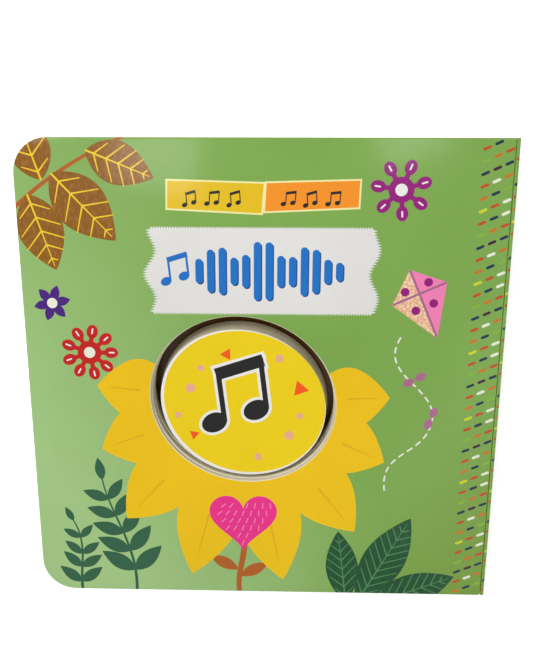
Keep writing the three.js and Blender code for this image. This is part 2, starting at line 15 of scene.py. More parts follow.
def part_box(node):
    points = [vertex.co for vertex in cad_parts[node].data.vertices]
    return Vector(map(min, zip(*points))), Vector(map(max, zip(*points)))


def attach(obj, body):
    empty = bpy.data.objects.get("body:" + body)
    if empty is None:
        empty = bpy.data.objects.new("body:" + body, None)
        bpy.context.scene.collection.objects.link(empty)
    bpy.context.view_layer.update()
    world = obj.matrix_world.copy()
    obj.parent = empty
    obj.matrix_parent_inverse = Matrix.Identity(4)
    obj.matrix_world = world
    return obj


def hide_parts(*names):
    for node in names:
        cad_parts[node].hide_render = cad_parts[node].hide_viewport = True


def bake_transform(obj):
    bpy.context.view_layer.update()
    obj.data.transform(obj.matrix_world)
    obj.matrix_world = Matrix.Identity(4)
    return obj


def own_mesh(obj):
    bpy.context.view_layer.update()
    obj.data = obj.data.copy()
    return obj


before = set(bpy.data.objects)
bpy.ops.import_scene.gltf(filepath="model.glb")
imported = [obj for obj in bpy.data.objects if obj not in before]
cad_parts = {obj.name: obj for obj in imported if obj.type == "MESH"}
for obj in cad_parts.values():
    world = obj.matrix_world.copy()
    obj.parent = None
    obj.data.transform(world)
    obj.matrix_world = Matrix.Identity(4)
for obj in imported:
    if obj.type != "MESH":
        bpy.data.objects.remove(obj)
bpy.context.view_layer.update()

# %% [markdown]
# ## Sizes
# The print is laid out in millimetres on the cover, as a graphic designer would do it: x runs to the spine
# and y to the top edge. The heights of the boards come from the measured model, so the print always lies on
# them.

# %% Sizes that the print needs
MM = 0.001
HOLE = {"x": -7.8, "y": -7.8, "long": 36.1, "short": 32.7, "turn": np.radians(-22)}
FORE_CORNER, SPINE_CORNER = 13.0, 1.0
EDGE_ROUND = 0.22
OVAL_POINTS = 96


def heights(node):
    """The lowest and highest point of a node, in millimetres."""
    low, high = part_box(node)
    return low.z / MM, high.z / MM


board_low, board_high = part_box("front_cover")
LEFT, RIGHT = board_low.x / MM, board_high.x / MM
BOTTOM, TOP = board_low.y / MM, board_high.y / MM
print("boards:", round(RIGHT - LEFT, 2), "by", round(TOP - BOTTOM, 2), "mm, cover at", heights("front_cover"))

# %% [markdown]
# ## Colours
# A printer mixes a few inks, and a small list of them keeps the whole cover in tune. They are written as the
# sRGB codes that an artist reads, and Blender's shaders want them linear, so one function turns one into the
# other.

# %% Inks
# The pale green and the olive green serve the ground's gradient, partly print and partly painted light: the
# pale green a painted reflection on the film, the olive green painted shade.
INKS = {
    "leaf_green": "7EAA4C", "olive_green_and_shade": "789C34", "pale_green_and_sheen": "A6CB86", "button_yellow": "F4D404",
    "petal_yellow": "F4C603", "petal_shade": "E8B004", "hot_pink": "F0308C", "light_pink": "F884B8",
    "label_white": "E6E4E0", "wave_blue": "0F70C4", "deep_blue": "0C4C8C", "ribbon_yellow": "E8C00C",
    "ribbon_orange": "F8941C", "ribbon_edge": "F6F0AA", "ochre": "8C5808", "vein_yellow": "F7D02A",
    "magenta": "94067A", "red": "C41414", "violet": "46147A", "fern_green": "2C5F42", "night_green": "0A4420",
    "fern_vein": "4A8850", "stem_brown": "B4601C", "orange": "F85A12", "peach": "EFAF8C", "rose": "B06A90",
    "ink_black": "121212", "paper_white": "F2F0EA", "stitch_rust": "C44A1C", "stitch_amber": "CC7420",
    "stitch_navy": "0E2A4A", "stitch_plum": "3E1034", "stitch_cream": "EEF0DC", "stitch_lime": "D2D81E",
    # The dark well brown on the next line is painted shade for the floor of the hole.
    "stitch_leaf": "86B43C", "well_brown": "5C3C0C", "sky": "A9D8E8", "cloud": "EEF6F6", "cream": "F6ECC4",
    "hill": "9CC760",
}


def linear(code):
    """The linear colour of an sRGB code.

    Each channel c becomes c / 12.92 below 0.04, and else ((c + 0.055) / 1.055)^2.4.
    """
    channels = np.array([int(code[i:i + 2], 16) / 255 for i in (0, 2, 4)])
    return (*np.where(channels <= 0.04045, channels / 12.92, ((channels + 0.055) / 1.055) ** 2.4), 1.0)


print(len(INKS), "inks, leaf green is", [round(c, 3) for c in linear(INKS["leaf_green"])])

# %% [markdown]
# ## Shader groups
# An effect that several finishes share is a node group. It puts out colours, masks, roughness values and
# heights, and the material that uses it keeps its own Principled shader. Three groups are enough for a book:
# printed film, cut board, and moulded or stamped surfaces.


# %% A helper that wires node groups
class Nodes:
    """Adds nodes to a tree and links them by socket name."""

    def __init__(self, tree):
        self.tree = tree

    def link(self, output, target):
        self.tree.links.new(output, target)

    def give(self, node, values):
        """Sets inputs of a node, each from a value or from another node's output."""
        for key, value in values.items():
            if isinstance(value, bpy.types.NodeSocket):
                self.link(value, node.inputs[key])
            else:
                node.inputs[key].default_value = value
        return node

    def add(self, kind, values=None, **settings):
        node = self.tree.nodes.new(kind)
        for key, value in settings.items():
            setattr(node, key, value)
        return self.give(node, values or {})

    def math(self, operation, a, b):
        return self.add("ShaderNodeMath", {0: a, 1: b}, operation=operation).outputs[0]

    def plus(self, a, b):
        return self.math("ADD", a, b)

    def times(self, a, b):
        return self.math("MULTIPLY", a, b)

    def noise(self, where, scale, detail=2.0, roughness=0.5):
        values = {"Vector": where, "Scale": scale, "Detail": detail, "Roughness": roughness}
        return self.add("ShaderNodeTexNoise", values).outputs["Fac"]

    def mix(self, factor, a, b):
        return self.add("ShaderNodeMix", {0: factor, 6: a, 7: b}, data_type="RGBA").outputs[2]

    def stretched(self, scale=(1, 1, 1)):
        where = self.add("ShaderNodeTexCoord").outputs["Object"]
        return self.add("ShaderNodeMapping", {"Vector": where, "Scale": scale}).outputs[0]

    def ramp(self, value, low, high, out_low=0.0, out_high=1.0):
        values = {"Value": value, "From Min": low, "From Max": high, "To Min": out_low, "To Max": out_high}
        return self.add("ShaderNodeMapRange", values).outputs[0]


def new_group(name, inputs, outputs):
    """An empty node group with named sockets, its helper, its input node and its output node."""
    group = bpy.data.node_groups.new(name, "ShaderNodeTree")
    for label, kind, value in inputs:
        group.interface.new_socket(label, in_out="INPUT", socket_type=kind).default_value = value
    for label, kind in outputs:
        group.interface.new_socket(label, in_out="OUTPUT", socket_type=kind)
    nodes = Nodes(group)
    return group, nodes, nodes.add("NodeGroupInput").outputs, nodes.add("NodeGroupOutput").inputs


FLOAT, COLOUR = "NodeSocketFloat", "NodeSocketColor"
WHITE = (1.0, 1.0, 1.0, 1.0)

# %% [markdown]
# ### Printed film
# The cover is printed paper under a clear glossy film, pressed on board. Up close the ink is never quite
# even: it has a soft mottle, and the film has a faint orange-peel wave, tiny scuffs, and dulls a little where
# hands rub it.

# %% Printed film group
film_group, n, given, out = new_group(
    "printed_film",
    [("Ink", COLOUR, WHITE), ("Mottle", FLOAT, 0.06), ("Scuff", FLOAT, 0.5), ("Gloss", FLOAT, 0.25)],
    [("Colour", COLOUR), ("Roughness", FLOAT), ("Height", FLOAT)],
)
broad = n.noise(n.stretched(), 22.0, 3.0)
fine = n.noise(n.stretched(), 900.0, 2.0)
mottle = n.plus(n.times(broad, 0.7), n.times(fine, 0.3))
shade = n.ramp(mottle, 0.3, 0.7, -1.0, 1.0)
brightness = n.plus(1.0, n.times(shade, given["Mottle"]))
hue = n.add("ShaderNodeHueSaturation", {"Color": given["Ink"], "Value": brightness})
n.link(hue.outputs[0], out["Colour"])
scratches = n.noise(n.stretched((40, 900, 40)), 1.0, 2.0)
scuffs = n.times(n.ramp(scratches, 0.62, 0.72), n.ramp(n.noise(n.stretched(), 35.0), 0.5, 0.65))
worn = n.times(scuffs, given["Scuff"])
rough = n.plus(given["Gloss"], n.plus(n.times(worn, 0.25), n.times(broad, 0.06)))
n.link(rough, out["Roughness"])
peel = n.noise(n.stretched(), 260.0, 1.0)
height = n.plus(n.times(peel, 0.7), n.times(worn, 0.3))
n.link(height, out["Height"])
print("printed film:", len(film_group.nodes), "nodes")

# %% [markdown]
# ### Cut board
# A guillotine leaves the edge of a board as many thin, slightly uneven layers of fibre. Seen from a step away
# that is a cream stripe with faint darker lines that run along it. Noise that is squeezed hard in height and
# pulled long sideways draws those lines on any wall, whichever way it faces.

# %% Cut board group
board_group, n, given, out = new_group(
    "cut_board",
    [("Fibre", COLOUR, WHITE), ("Shadow", COLOUR, WHITE), ("Contrast", FLOAT, 0.5)],
    [("Colour", COLOUR), ("Height", FLOAT)],
)
layers = n.noise(n.stretched((25, 25, 2600)), 1.0, 3.0, 0.6)
flecks = n.noise(n.stretched(), 1500.0, 2.0)
lines = n.ramp(n.plus(n.times(layers, 0.75), n.times(flecks, 0.25)), 0.35, 0.65)
n.link(n.mix(n.times(lines, given["Contrast"]), given["Fibre"], given["Shadow"]), out["Colour"])
n.link(lines, out["Height"])

# %% [markdown]
# ### Moulded and stamped surfaces
# Plastic mouldings carry the fine spark-eroded texture of their mould, stamped metal has faint rolling lines.
# One group does both: a noise that may be stretched, which darkens the colour a touch and roughens it.

# %% Fine surface group
surface_group, n, given, out = new_group(
    "fine_surface",
    [("Base", COLOUR, WHITE), ("Scale", FLOAT, 1500.0), ("Stretch", FLOAT, 1.0), ("Depth", FLOAT, 0.08),
     ("Roughness", FLOAT, 0.5)],
    [("Colour", COLOUR), ("Roughness", FLOAT), ("Height", FLOAT)],
)
where = n.add("ShaderNodeTexCoord").outputs["Object"]
pulled = n.add("ShaderNodeCombineXYZ", {"X": given["Stretch"], "Y": 1.0, "Z": 1.0}).outputs[0]
grain_place = n.add("ShaderNodeVectorMath", {0: where, 1: pulled}, operation="MULTIPLY").outputs[0]
grain = n.noise(grain_place, given["Scale"], 3.0)
tone = n.plus(1.0, n.times(n.ramp(grain, 0.3, 0.7, -1.0, 0.4), given["Depth"]))
toned = n.add("ShaderNodeHueSaturation", {"Color": given["Base"], "Value": tone})
n.link(toned.outputs[0], out["Colour"])
n.link(n.plus(given["Roughness"], n.times(grain, 0.12)), out["Roughness"])
n.link(grain, out["Height"])

# %% [markdown]
# ## Materials
# Each finish is a short function that places a group beside its own Principled shader. The numbers that don't
# vary over the surface, such as the clear film's coat, are set on the shader itself.


# %% Material makers
def new_material(name):
    material = bpy.data.materials.new(name)
    material.use_nodes = True
    nodes = Nodes(material.node_tree)
    return material, nodes, material.node_tree.nodes["Principled BSDF"]


def finish(name, tree, values, bump_mm, shader_values):
    """A material: a node group, a bump of bump_mm from the group's height, and a Principled shader."""
    material, nodes, shader = new_material(name)
    group = nodes.add("ShaderNodeGroup", values, node_tree=tree, name="finish")
    height = {"Height": group.outputs["Height"], "Distance": bump_mm * MM, "Strength": 1.0}
    links = {"Base Color": group.outputs["Colour"], "Normal": nodes.add("ShaderNodeBump", height).outputs[0]}
    if "Roughness" in group.outputs:
        links["Roughness"] = group.outputs["Roughness"]
    nodes.give(shader, {**shader_values, **links})
    return material


def printed(name, code):
    values = {"Ink": linear(code), "Mottle": 0.05, "Gloss": 0.34, "Scuff": 0.5}
    film = {"Coat Weight": 0.3, "Coat Roughness": 0.12, "Specular IOR Level": 0.12}
    return finish(name, film_group, values, 0.004, film)


def cut_board(name, fibre, shadow, contrast):
    values = {"Fibre": linear(fibre), "Shadow": linear(shadow), "Contrast": contrast}
    return finish(name, board_group, values, 0.03, {"Roughness": 0.88, "Specular IOR Level": 0.25})


def surface(name, code, roughness, scale=1500.0, stretch=1.0, depth=0.08, metallic=0.0, bump_mm=0.006):
    values = {"Base": linear(code), "Scale": scale, "Stretch": stretch, "Depth": depth,
              "Roughness": roughness}
    return finish(name, surface_group, values, bump_mm, {"Metallic": metallic})


MATERIALS = {name: printed("ink_" + name, code) for name, code in INKS.items()}
MATERIALS["board_edge"] = cut_board("board_edge", "F6F0DC", "CDBD92", 0.45)
MATERIALS["greyboard"] = cut_board("greyboard", "D8CDAA", "A08F66", 0.6)
# Painted shade: a dark brown board for the faces deep in the grooves between leaves.
MATERIALS["groove"] = cut_board("leaf_groove_shade", "6A5630", "3A2A14", 0.5)
print(len(MATERIALS), "materials for print and board")

# %% [markdown]
# Four inks vary within a shape. The ochre is brushed, the peach paper is speckled with cream, the darkest
# green is streaked, and the green of the ground pales to the lower left and turns olive to the lower right.
# That gradient is partly print and partly painted light: the pale part is a painted reflection on the film,
# and the olive part is painted shade.
# The same printed film carries them, with a pattern mixed into its ink first.


# %% Inks with a drawn texture
def textured_ink(name, base, spots, scale, threshold, soft):
    """Printed film whose ink changes to a second colour where a stretched noise passes a threshold."""
    material = printed(name, base)
    nodes = Nodes(material.node_tree)
    mask = nodes.ramp(nodes.noise(nodes.stretched(scale), 1.0, 2.0), threshold - soft, threshold + soft)
    nodes.give(material.node_tree.nodes["finish"], {"Ink": nodes.mix(mask, linear(base), linear(spots))})
    return material


def ground_green():
    """Leaf green that pales to the lower left by x + 0.7 y, and turns olive to the lower right by x - y.

    Both are partly print and partly painted light: the pale part a painted reflection on the film, the olive
    part painted shade.
    """
    material = printed("ink_leaf_green", INKS["leaf_green"])
    nodes = Nodes(material.node_tree)
    where = nodes.add("ShaderNodeSeparateXYZ", {"Vector": nodes.stretched()}).outputs
    across = nodes.plus(where["X"], nodes.times(where["Y"], 0.7))
    soft = nodes.times(nodes.noise(nodes.stretched(), 9.0), 0.03)
    # Painted reflection, partly print: the green pales towards the lower left, as haze on the film would make
    # it.
    pale_print_and_sheen = nodes.ramp(nodes.plus(across, soft), 0.03, -0.1)
    two_greens = nodes.mix(pale_print_and_sheen, linear(INKS["leaf_green"]), linear(INKS["pale_green_and_sheen"]))
    # Painted shade, partly print: the green turns olive towards the lower right.
    olive_print_and_shade = nodes.ramp(nodes.math("SUBTRACT", where["X"], where["Y"]), 0.09, 0.19)
    greens = nodes.mix(olive_print_and_shade, two_greens, linear(INKS["olive_green_and_shade"]))
    nodes.give(material.node_tree.nodes["finish"], {"Ink": greens})
    return material


MATERIALS["leaf_green"] = ground_green()
for name, base, spots, scale, threshold, soft in (
    ("ochre", "ochre", "9C6A26", (1400, 500, 500), 0.56, 0.1),
    ("kite_paper", "peach", "F8E8C4", (1300, 1300, 1300), 0.55, 0.05),
    ("night_green", "night_green", "14542C", (900, 300, 300), 0.5, 0.2),
):
    MATERIALS[name] = textured_ink("ink_" + name, INKS[base], spots, scale, threshold, soft)

# %% [markdown]
# ## Outlines
# Everything printed on the book is a flat outline, a closed ring of points. Each helper below returns one as
# a numpy array, worked out from a formula, so a curve is as smooth as its count of points and no drawing file
# is needed.


# %% Rings, leaves and bars
def turned(points, angle, x=0.0, y=0.0):
    """Points turned by an angle about their origin, then moved."""
    c, s = np.cos(angle), np.sin(angle)
    return points @ np.array([[c, s], [-s, c]]) + (x, y)


def ring(x, y, long, short=None, turn=0.0, count=48):
    """An ellipse: (long cos t, short sin t), turned."""
    t = np.linspace(0, 2 * np.pi, count, endpoint=False)
    return turned(np.c_[long * np.cos(t), (short or long) * np.sin(t)], turn, x, y)


def bar(x, y, length, width, angle=0.0, count=6):
    """A bar with round ends: a half circle round each end of its middle line."""
    t = np.linspace(-np.pi / 2, np.pi / 2, count)
    end = np.c_[np.cos(t), np.sin(t)] * width / 2
    half = (length - width) / 2
    return turned(np.r_[end + (half, 0), -end - (half, 0)], angle, x, y)


def leaf(x, y, length, width, angle, fullness=1.0, count=22):
    """A pointed leaf from its stalk: half its width is sin(pi s^fullness) at the share s of its length."""
    s = np.linspace(0, 1, count)
    half = width / 2 * np.sin(np.pi * s ** fullness) ** 0.9
    side = np.c_[s * length, half]
    back = np.c_[s * length, -half][::-1]
    return turned(np.r_[side, back[1:-1]], angle, x, y)


def heart(x, y, size, turn=0.0, count=60):
    """A heart: x is sin^3 t, and y a sum of four cosines."""
    t = np.linspace(0, 2 * np.pi, count, endpoint=False)
    across = 16 * np.sin(t) ** 3
    up = 13 * np.cos(t) - 5 * np.cos(2 * t) - 2 * np.cos(3 * t) - np.cos(4 * t)
    return turned(np.c_[across, up][::-1] / 32 * size, turn, x, y)


def bend(start, pull, other_pull, end, count=24):
    """Points on a cubic Bezier curve between two ends."""
    t = np.linspace(0, 1, count)[:, None]
    a, b, c, d = (np.array(p, float) for p in (start, pull, other_pull, end))
    return (1 - t) ** 3 * a + 3 * (1 - t) ** 2 * t * b + 3 * (1 - t) * t ** 2 * c + t ** 3 * d


def stroke(path, width, end_width=None):
    """A drawn line: its path pushed to both sides by half a width, which may taper."""
    path = np.array(path, float)
    along = np.gradient(path, axis=0)
    along /= np.linalg.norm(along, axis=1)[:, None]
    side = np.c_[-along[:, 1], along[:, 0]]
    half = np.linspace(width, width if end_width is None else end_width, len(path))[:, None] / 2
    return np.r_[path + side * half, (path - side * half)[::-1]]


def rounded_board(inset=0.0, corner_points=10):
    """The boards' outline: straight sides, large corners at the fore edge and small ones at the spine."""
    corners = [(LEFT, BOTTOM, FORE_CORNER, 180), (RIGHT, BOTTOM, SPINE_CORNER, 270),
               (RIGHT, TOP, SPINE_CORNER, 0), (LEFT, TOP, FORE_CORNER, 90)]
    arcs = []
    for x, y, radius, start in corners:
        centre = (x + radius * (1 if x < 0 else -1), y + radius * (1 if y < 0 else -1))
        t = np.radians(np.linspace(start, start + 90, corner_points))
        arcs.append(np.c_[np.cos(t), np.sin(t)] * (radius - inset) + centre)
    return np.vstack(arcs)


def hole_ring(margin=0.0):
    long, short = HOLE["long"] + margin, HOLE["short"] + margin
    return ring(HOLE["x"], HOLE["y"], long, short, HOLE["turn"], OVAL_POINTS)


print("board outline:", len(rounded_board()), "points; hole:", len(hole_ring()), "points")

# %% [markdown]
# ## Cutting a sheet along its print
# A picture could be painted on the cover as an image, but then its edges blur when you come close. Here the
# cover's face is cut into triangles along every printed outline instead, and each triangle takes the ink that
# lies on top there. Blender's constrained Delaunay triangulation does the cutting: it is given all the
# outlines as faces, and says for each triangle which of them cover it. The last one in the list was printed
# last, so it wins.


# %% Cut a flat sheet
def face_up(outline):
    """The outline with its points in counter-clockwise order."""
    x, y = outline[:, 0], outline[:, 1]
    area = np.sum(x * np.roll(y, -1) - np.roll(x, -1) * y)
    return outline if area > 0 else outline[::-1]


def cut_sheet(border, holes, layers, ground):
    """Points, triangles and inks of a flat sheet.

    border and holes are rings; layers are (ink, ring) in print order.
    """
    rings = [border, *holes, *(outline for _, outline in layers)]
    rings = [face_up(np.asarray(outline, float)) for outline in rings]
    starts = np.cumsum([0] + [len(outline) for outline in rings])
    faces = [list(range(a, b)) for a, b in zip(starts[:-1], starts[1:])]
    points, _, triangles, _, _, sources = delaunay_2d_cdt(np.vstack(rings).tolist(), [], faces, 0, 1e-5, True)
    cut_away = set(range(1, 1 + len(holes)))
    inks = [ground] + [ink for ink, _ in layers]
    kept, slots = [], []
    for triangle, covers in zip(triangles, sources):
        if 0 not in covers or cut_away & set(covers):
            continue
        top = max(covers)
        kept.append(triangle)
        slots.append(inks[top - len(holes)] if top > len(holes) else ground)
    return np.array(points, float).reshape(-1, 2), np.array(kept), slots


_, test_triangles, _ = cut_sheet(rounded_board(), [hole_ring()], [], "leaf_green")
print("a bare cover takes", len(test_triangles), "triangles")

# %% [markdown]
# ## Building a board
# A board is two such sheets with a wall between them. The wall follows the rim of the upper sheet. Its first
# step is rounded over, because the die that cuts a board presses the printed paper down a little at the edge,
# so that step takes the ink next to it. Below it the raw board shows. The face below is cut first and its rim
# handed to the face above, so that a shape printed across the edge of either face puts its corners into both
# rims and the board closes.


# %% Rims and walls
def rim_of(triangles, slots):
    """The directed edges that only one triangle has, with that triangle's ink.

    The sheet lies to their left.
    """
    edges = np.vstack([triangles[:, [0, 1]], triangles[:, [1, 2]], triangles[:, [2, 0]]])
    owners = np.tile(np.arange(len(triangles)), 3)
    keys = {tuple(edge) for edge in edges.tolist()}
    lone = [i for i, (a, b) in enumerate(edges.tolist()) if (b, a) not in keys]
    return edges[lone], [slots[i] for i in owners[lone]]


def rim_loops(edges):
    """The rim's points in order, one list for each closed loop."""
    following = dict(edges.tolist())
    loops = []
    while following:
        start = next(iter(following))
        loop, at = [start], following.pop(start)
        while at != start:
            loop.append(at)
            at = following.pop(at)
        loops.append(loop)
    return loops


def outward(points, edges):
    """The way out of the sheet at each rim point: the mean of two edges' normals, long enough to mitre."""
    along = points[edges[:, 1]] - points[edges[:, 0]]
    along /= np.linalg.norm(along, axis=1)[:, None]
    normal = np.c_[along[:, 1], -along[:, 0]]
    total = np.zeros_like(points)
    np.add.at(total, edges[:, 0], normal)
    np.add.at(total, edges[:, 1], normal)
    square = np.sum(total ** 2, axis=1)
    return np.divide(2 * total, square[:, None], out=np.zeros_like(total), where=square[:, None] > 0)


def add_mesh(name, vertices, faces, slots, smooth_under=30.0):
    """A mesh object at the origin, from arrays in millimetres, with doubles merged and soft edges smooth.

    slots names each face's material, or one for them all.
    """
    slots = [slots] * len(faces) if isinstance(slots, str) else slots
    mesh = bpy.data.meshes.new(name)
    mesh.from_pydata((np.asarray(vertices) * MM).tolist(), [], [list(map(int, face)) for face in faces])
    names = sorted(set(slots))
    for slot in names:
        mesh.materials.append(MATERIALS[slot])
    mesh.polygons.foreach_set("material_index", [names.index(slot) for slot in slots])
    mesh.validate()
    piece = bpy.data.objects.new(name, mesh)
    bpy.context.scene.collection.objects.link(piece)
    clean(piece)
    mesh.polygons.foreach_set("use_smooth", [True] * len(mesh.polygons))
    mesh.set_sharp_from_angle(angle=np.radians(smooth_under))
    return piece


def clean(piece, distance=1e-6):
    """Merges doubles and drops faces without area."""
    cage = bmesh.new()
    cage.from_mesh(piece.data)
    bmesh.ops.remove_doubles(cage, verts=cage.verts, dist=distance)
    bmesh.ops.dissolve_degenerate(cage, edges=cage.edges, dist=distance / 10)
    loose = [vertex for vertex in cage.verts if not vertex.link_faces]
    bmesh.ops.delete(cage, geom=loose, context="VERTS")
    cage.to_mesh(piece.data)
    cage.free()


# %% The board maker
def board_wall(low, high, rounding):
    """A plain board's wall: a rounded arris, the cut edge, and the other arris."""
    arc = np.radians([0, 30, 60, 90])
    points = [(rounding * np.sin(a), high - rounding * (1 - np.cos(a)), 0.0) for a in arc]
    points += [(push, low + high - z, 0.0) for push, z, _ in reversed(points)]
    return points, ["print", "print"] + ["board_edge"] * (len(points) - 3)


def make_board(name, node, holes, above, below, grounds, border=None, rounding=EDGE_ROUND, wall=None):
    """A closed printed board at a node's heights.

    above and below are the layers printed on its two faces, and grounds the colours under them. A border is
    given where the board hasn't the outline of the book.
    """
    low, high = heights(node)
    border = rounded_board(rounding) if border is None else border
    for layers, ground in ((below, grounds[1]), (above, grounds[0])):
        top_points, top_faces, top_slots = cut_sheet(border, holes, layers, ground)
        edges, edge_inks = rim_of(top_faces, top_slots)
        rims = sorted(rim_loops(edges), key=lambda loop: -np.ptp(top_points[loop, 0]))
        border, *holes = [top_points[loop] for loop in rims]
    outer_rim = set(rims[0])
    edge_inks = [ink if start in outer_rim else "board_edge" for start, ink in zip(edges[:, 0], edge_inks)]
    under_points, under_faces, under_slots = cut_sheet(border, holes, below, grounds[1])
    out = outward(top_points, edges)
    profile, finishes = wall or board_wall(low, high, rounding)
    in_hole = np.zeros(len(top_points))
    in_hole[[point for rim in rims[1:] for point in rim]] = 1.0
    vertices = [np.c_[top_points + (push + step_in * in_hole)[:, None] * out, np.full(len(top_points), z)]
                for push, z, step_in in profile]
    count = len(top_points)
    faces = top_faces.tolist()
    slots = list(top_slots)
    for step, finish in enumerate(finishes):
        a, b = edges[:, 0] + step * count, edges[:, 1] + step * count
        faces += np.c_[a + count, b + count, b, a].tolist()
        slots += edge_inks if finish == "print" else [finish] * len(edges)
    shift = len(profile) * count
    vertices.append(np.c_[under_points, np.full(len(under_points), low)])
    faces += (under_faces[:, ::-1] + shift).tolist()
    slots += under_slots
    return add_mesh(name, np.vstack(vertices), faces, slots)


# %% [markdown]
# ## The cover's print
# The design is a garden in flat colours, like much print for small children. The button is the heart of a big
# flower: yellow petals fan out below the hole, with a pink heart on them and a short stem. Foliage fills the
# corners, and rosettes, a label with a sound wave, two ribbons and a kite fill the rest.

# %% Stitches along the spine
STITCH = {"length": 3.3, "width": 1.05, "tilt": np.radians(24), "row": 4.37, "column": 4.1,
          "rise": 1.8, "first": 78.3, "from_top": 3.4, "clear_top": 1.2, "clear_bottom": 1.5}
SPINE_STITCH = {"first": 1.7, "column": 4.7, "first_row": 3 * STITCH["rise"] - 2.0}
STITCH_INKS = [
    ("stitch_rust", "stitch_leaf", "stitch_navy", "stitch_rust", "stitch_amber", "stitch_lime"),
    ("stitch_navy", "stitch_amber", "stitch_plum", "stitch_cream", "stitch_navy", "stitch_rust"),
    ("stitch_cream", "stitch_rust", "stitch_navy", "stitch_amber", "stitch_leaf", "stitch_cream"),
    ("stitch_rust", "stitch_rust", "stitch_navy", "stitch_rust", "stitch_rust", "stitch_lime"),
]
STITCH_ROWS = 41


def stitches(places, tilt, first_row=0.0):
    """Slanted dashes in a column at each x of places.

    Each column starts a little higher and repeats six inks.
    """
    layers = []
    for column, x in enumerate(places):
        inks = STITCH_INKS[column % len(STITCH_INKS)]
        for row in range(STITCH_ROWS):
            y = TOP - STITCH["from_top"] - first_row - row * STITCH["row"] + column * STITCH["rise"]
            if BOTTOM + STITCH["clear_bottom"] < y < TOP - STITCH["clear_top"]:
                layers.append((inks[row % len(inks)], bar(x, y, STITCH["length"], STITCH["width"], tilt, 4)))
    return layers


BAND = STITCH["first"] + STITCH["column"] * np.arange(3)
print(len(stitches(BAND, STITCH["tilt"])), "stitches")


# %% Leaves with veins
def veined_leaf(ink, vein, x, y, length, width, angle, pairs, line=0.75, slant=0.62, fullness=1.0):
    """A leaf, its midrib, and pairs of straight veins that stop just inside its edge."""
    parts = [(ink, leaf(x, y, length, width, angle, fullness))]
    middle = np.c_[np.linspace(0, 0.94 * length, 12), np.zeros(12)]
    parts.append((vein, turned(stroke(middle, line, 0.4 * line), angle, x, y)))
    for s in np.linspace(0.12, 0.84, pairs):
        half = width / 2 * np.sin(np.pi * min(1.0, s + 0.08) ** fullness) ** 0.9
        for side in (-1, 1):
            start = (s * length, 0.0)
            end = (s * length + half * slant, side * half * 0.93)
            parts.append((vein, turned(stroke([start, end], 0.8 * line, 0.5 * line), angle, x, y)))
    return parts


branch = bend((-96, 60), (-80, 76), (-62, 86), (-40, 94), 30)
corner_leaves = [("stem_brown", stroke(branch, 1.6, 1.0))]
for x, y, length, width, degrees, pairs in (
    (-85.5, 70.0, 29.0, 17.0, -72, 5), (-76.5, 77.5, 33.0, 19.0, -47, 5), (-63.5, 85.5, 26.0, 15.5, -22, 5),
    (-80.0, 75.0, 25.0, 15.0, 108, 4),
):
    corner_leaves += veined_leaf("ochre", "vein_yellow", x, y, length, width, np.radians(degrees), pairs,
                                 fullness=0.85)



# %% Rosettes
def rosette(x, y, radius, petals, ink, core, light, turn=0.0):
    """Round petals on short stalks about a disc, each with a small light bar."""
    parts = []
    for k in range(petals):
        angle = turn + 2 * np.pi * k / petals
        reach = np.array([np.cos(angle), np.sin(angle)])
        stalk = stroke([reach * radius * 0.3 + (x, y), reach * radius * 0.72 + (x, y)], radius * 0.16)
        petal = ring(*(reach * radius * 0.76 + (x, y)), radius * 0.25, radius * 0.2, angle, 20)
        mark = bar(*(reach * radius * 0.78 + (x, y)), radius * 0.22, radius * 0.055, angle, 4)
        parts += [(ink, stalk), (ink, petal), (light, mark)]
    parts += [(ink, ring(x, y, radius * 0.42)), (core, ring(x, y, radius * 0.2, count=24))]
    return parts


def daisy(x, y, radius, petals, ink, core, turn=0.0):
    """Pointed petals about a round core."""
    parts = []
    for k in range(petals):
        parts.append((ink, leaf(x, y, radius, radius * 0.5, turn + 2 * np.pi * k / petals, 1.1, 12)))
    return parts + [(core, ring(x, y, radius * 0.28, count=24))]


rosettes = [
    *rosette(49.0, 72.0, 11.0, 7, "magenta", "paper_white", "paper_white", 0.3),
    *rosette(-66.0, 11.0, 10.8, 9, "red", "stitch_cream", "paper_white"),
    *daisy(-79.0, 30.0, 7.0, 6, "violet", "stitch_cream", 0.2),
]


# %% The big flower round the hole
def petal_fan():
    """Petals that point away from the lower half of the hole, longest at the foot, each with a crease."""
    sweep = np.radians(np.linspace(-176, -6, 30))
    arc = np.c_[41.0 * np.cos(sweep), 38.0 * np.sin(sweep)] + (HOLE["x"], HOLE["y"])
    parts = [("petal_yellow", arc)]
    angles = np.radians(np.linspace(-186, 2, 8))
    order = sorted(range(len(angles)), key=lambda k: abs(angles[k] + np.pi / 2), reverse=True)
    for k in order:
        angle = angles[k]
        down = np.cos(angle + np.pi / 2) ** 2
        length = 32.0 + 25.0 * down
        start = (HOLE["x"] + 24.0 * np.cos(angle), HOLE["y"] + 22.0 * np.sin(angle))
        parts.append(("petal_yellow", leaf(*start, length, 25.0, angle, 1.0, 30)))
        crease = np.c_[np.linspace(0.5 * length, 0.86 * length, 8), np.zeros(8)]
        parts.append(("petal_shade", turned(stroke(crease, 0.9, 0.3), angle, *start)))
    return parts


def inside(outline, points):
    """True for each point where a line to its right crosses the outline an odd number of times."""
    ax, ay = outline.T
    bx, by = np.roll(outline, -1, axis=0).T
    px, py = points[:, :1], points[:, 1:]
    spans = (ay > py) != (by > py)
    rise = np.where(by == ay, 1.0, by - ay)
    return np.sum(spans & (px < ax + (py - ay) / rise * (bx - ax)), axis=1) % 2 == 1


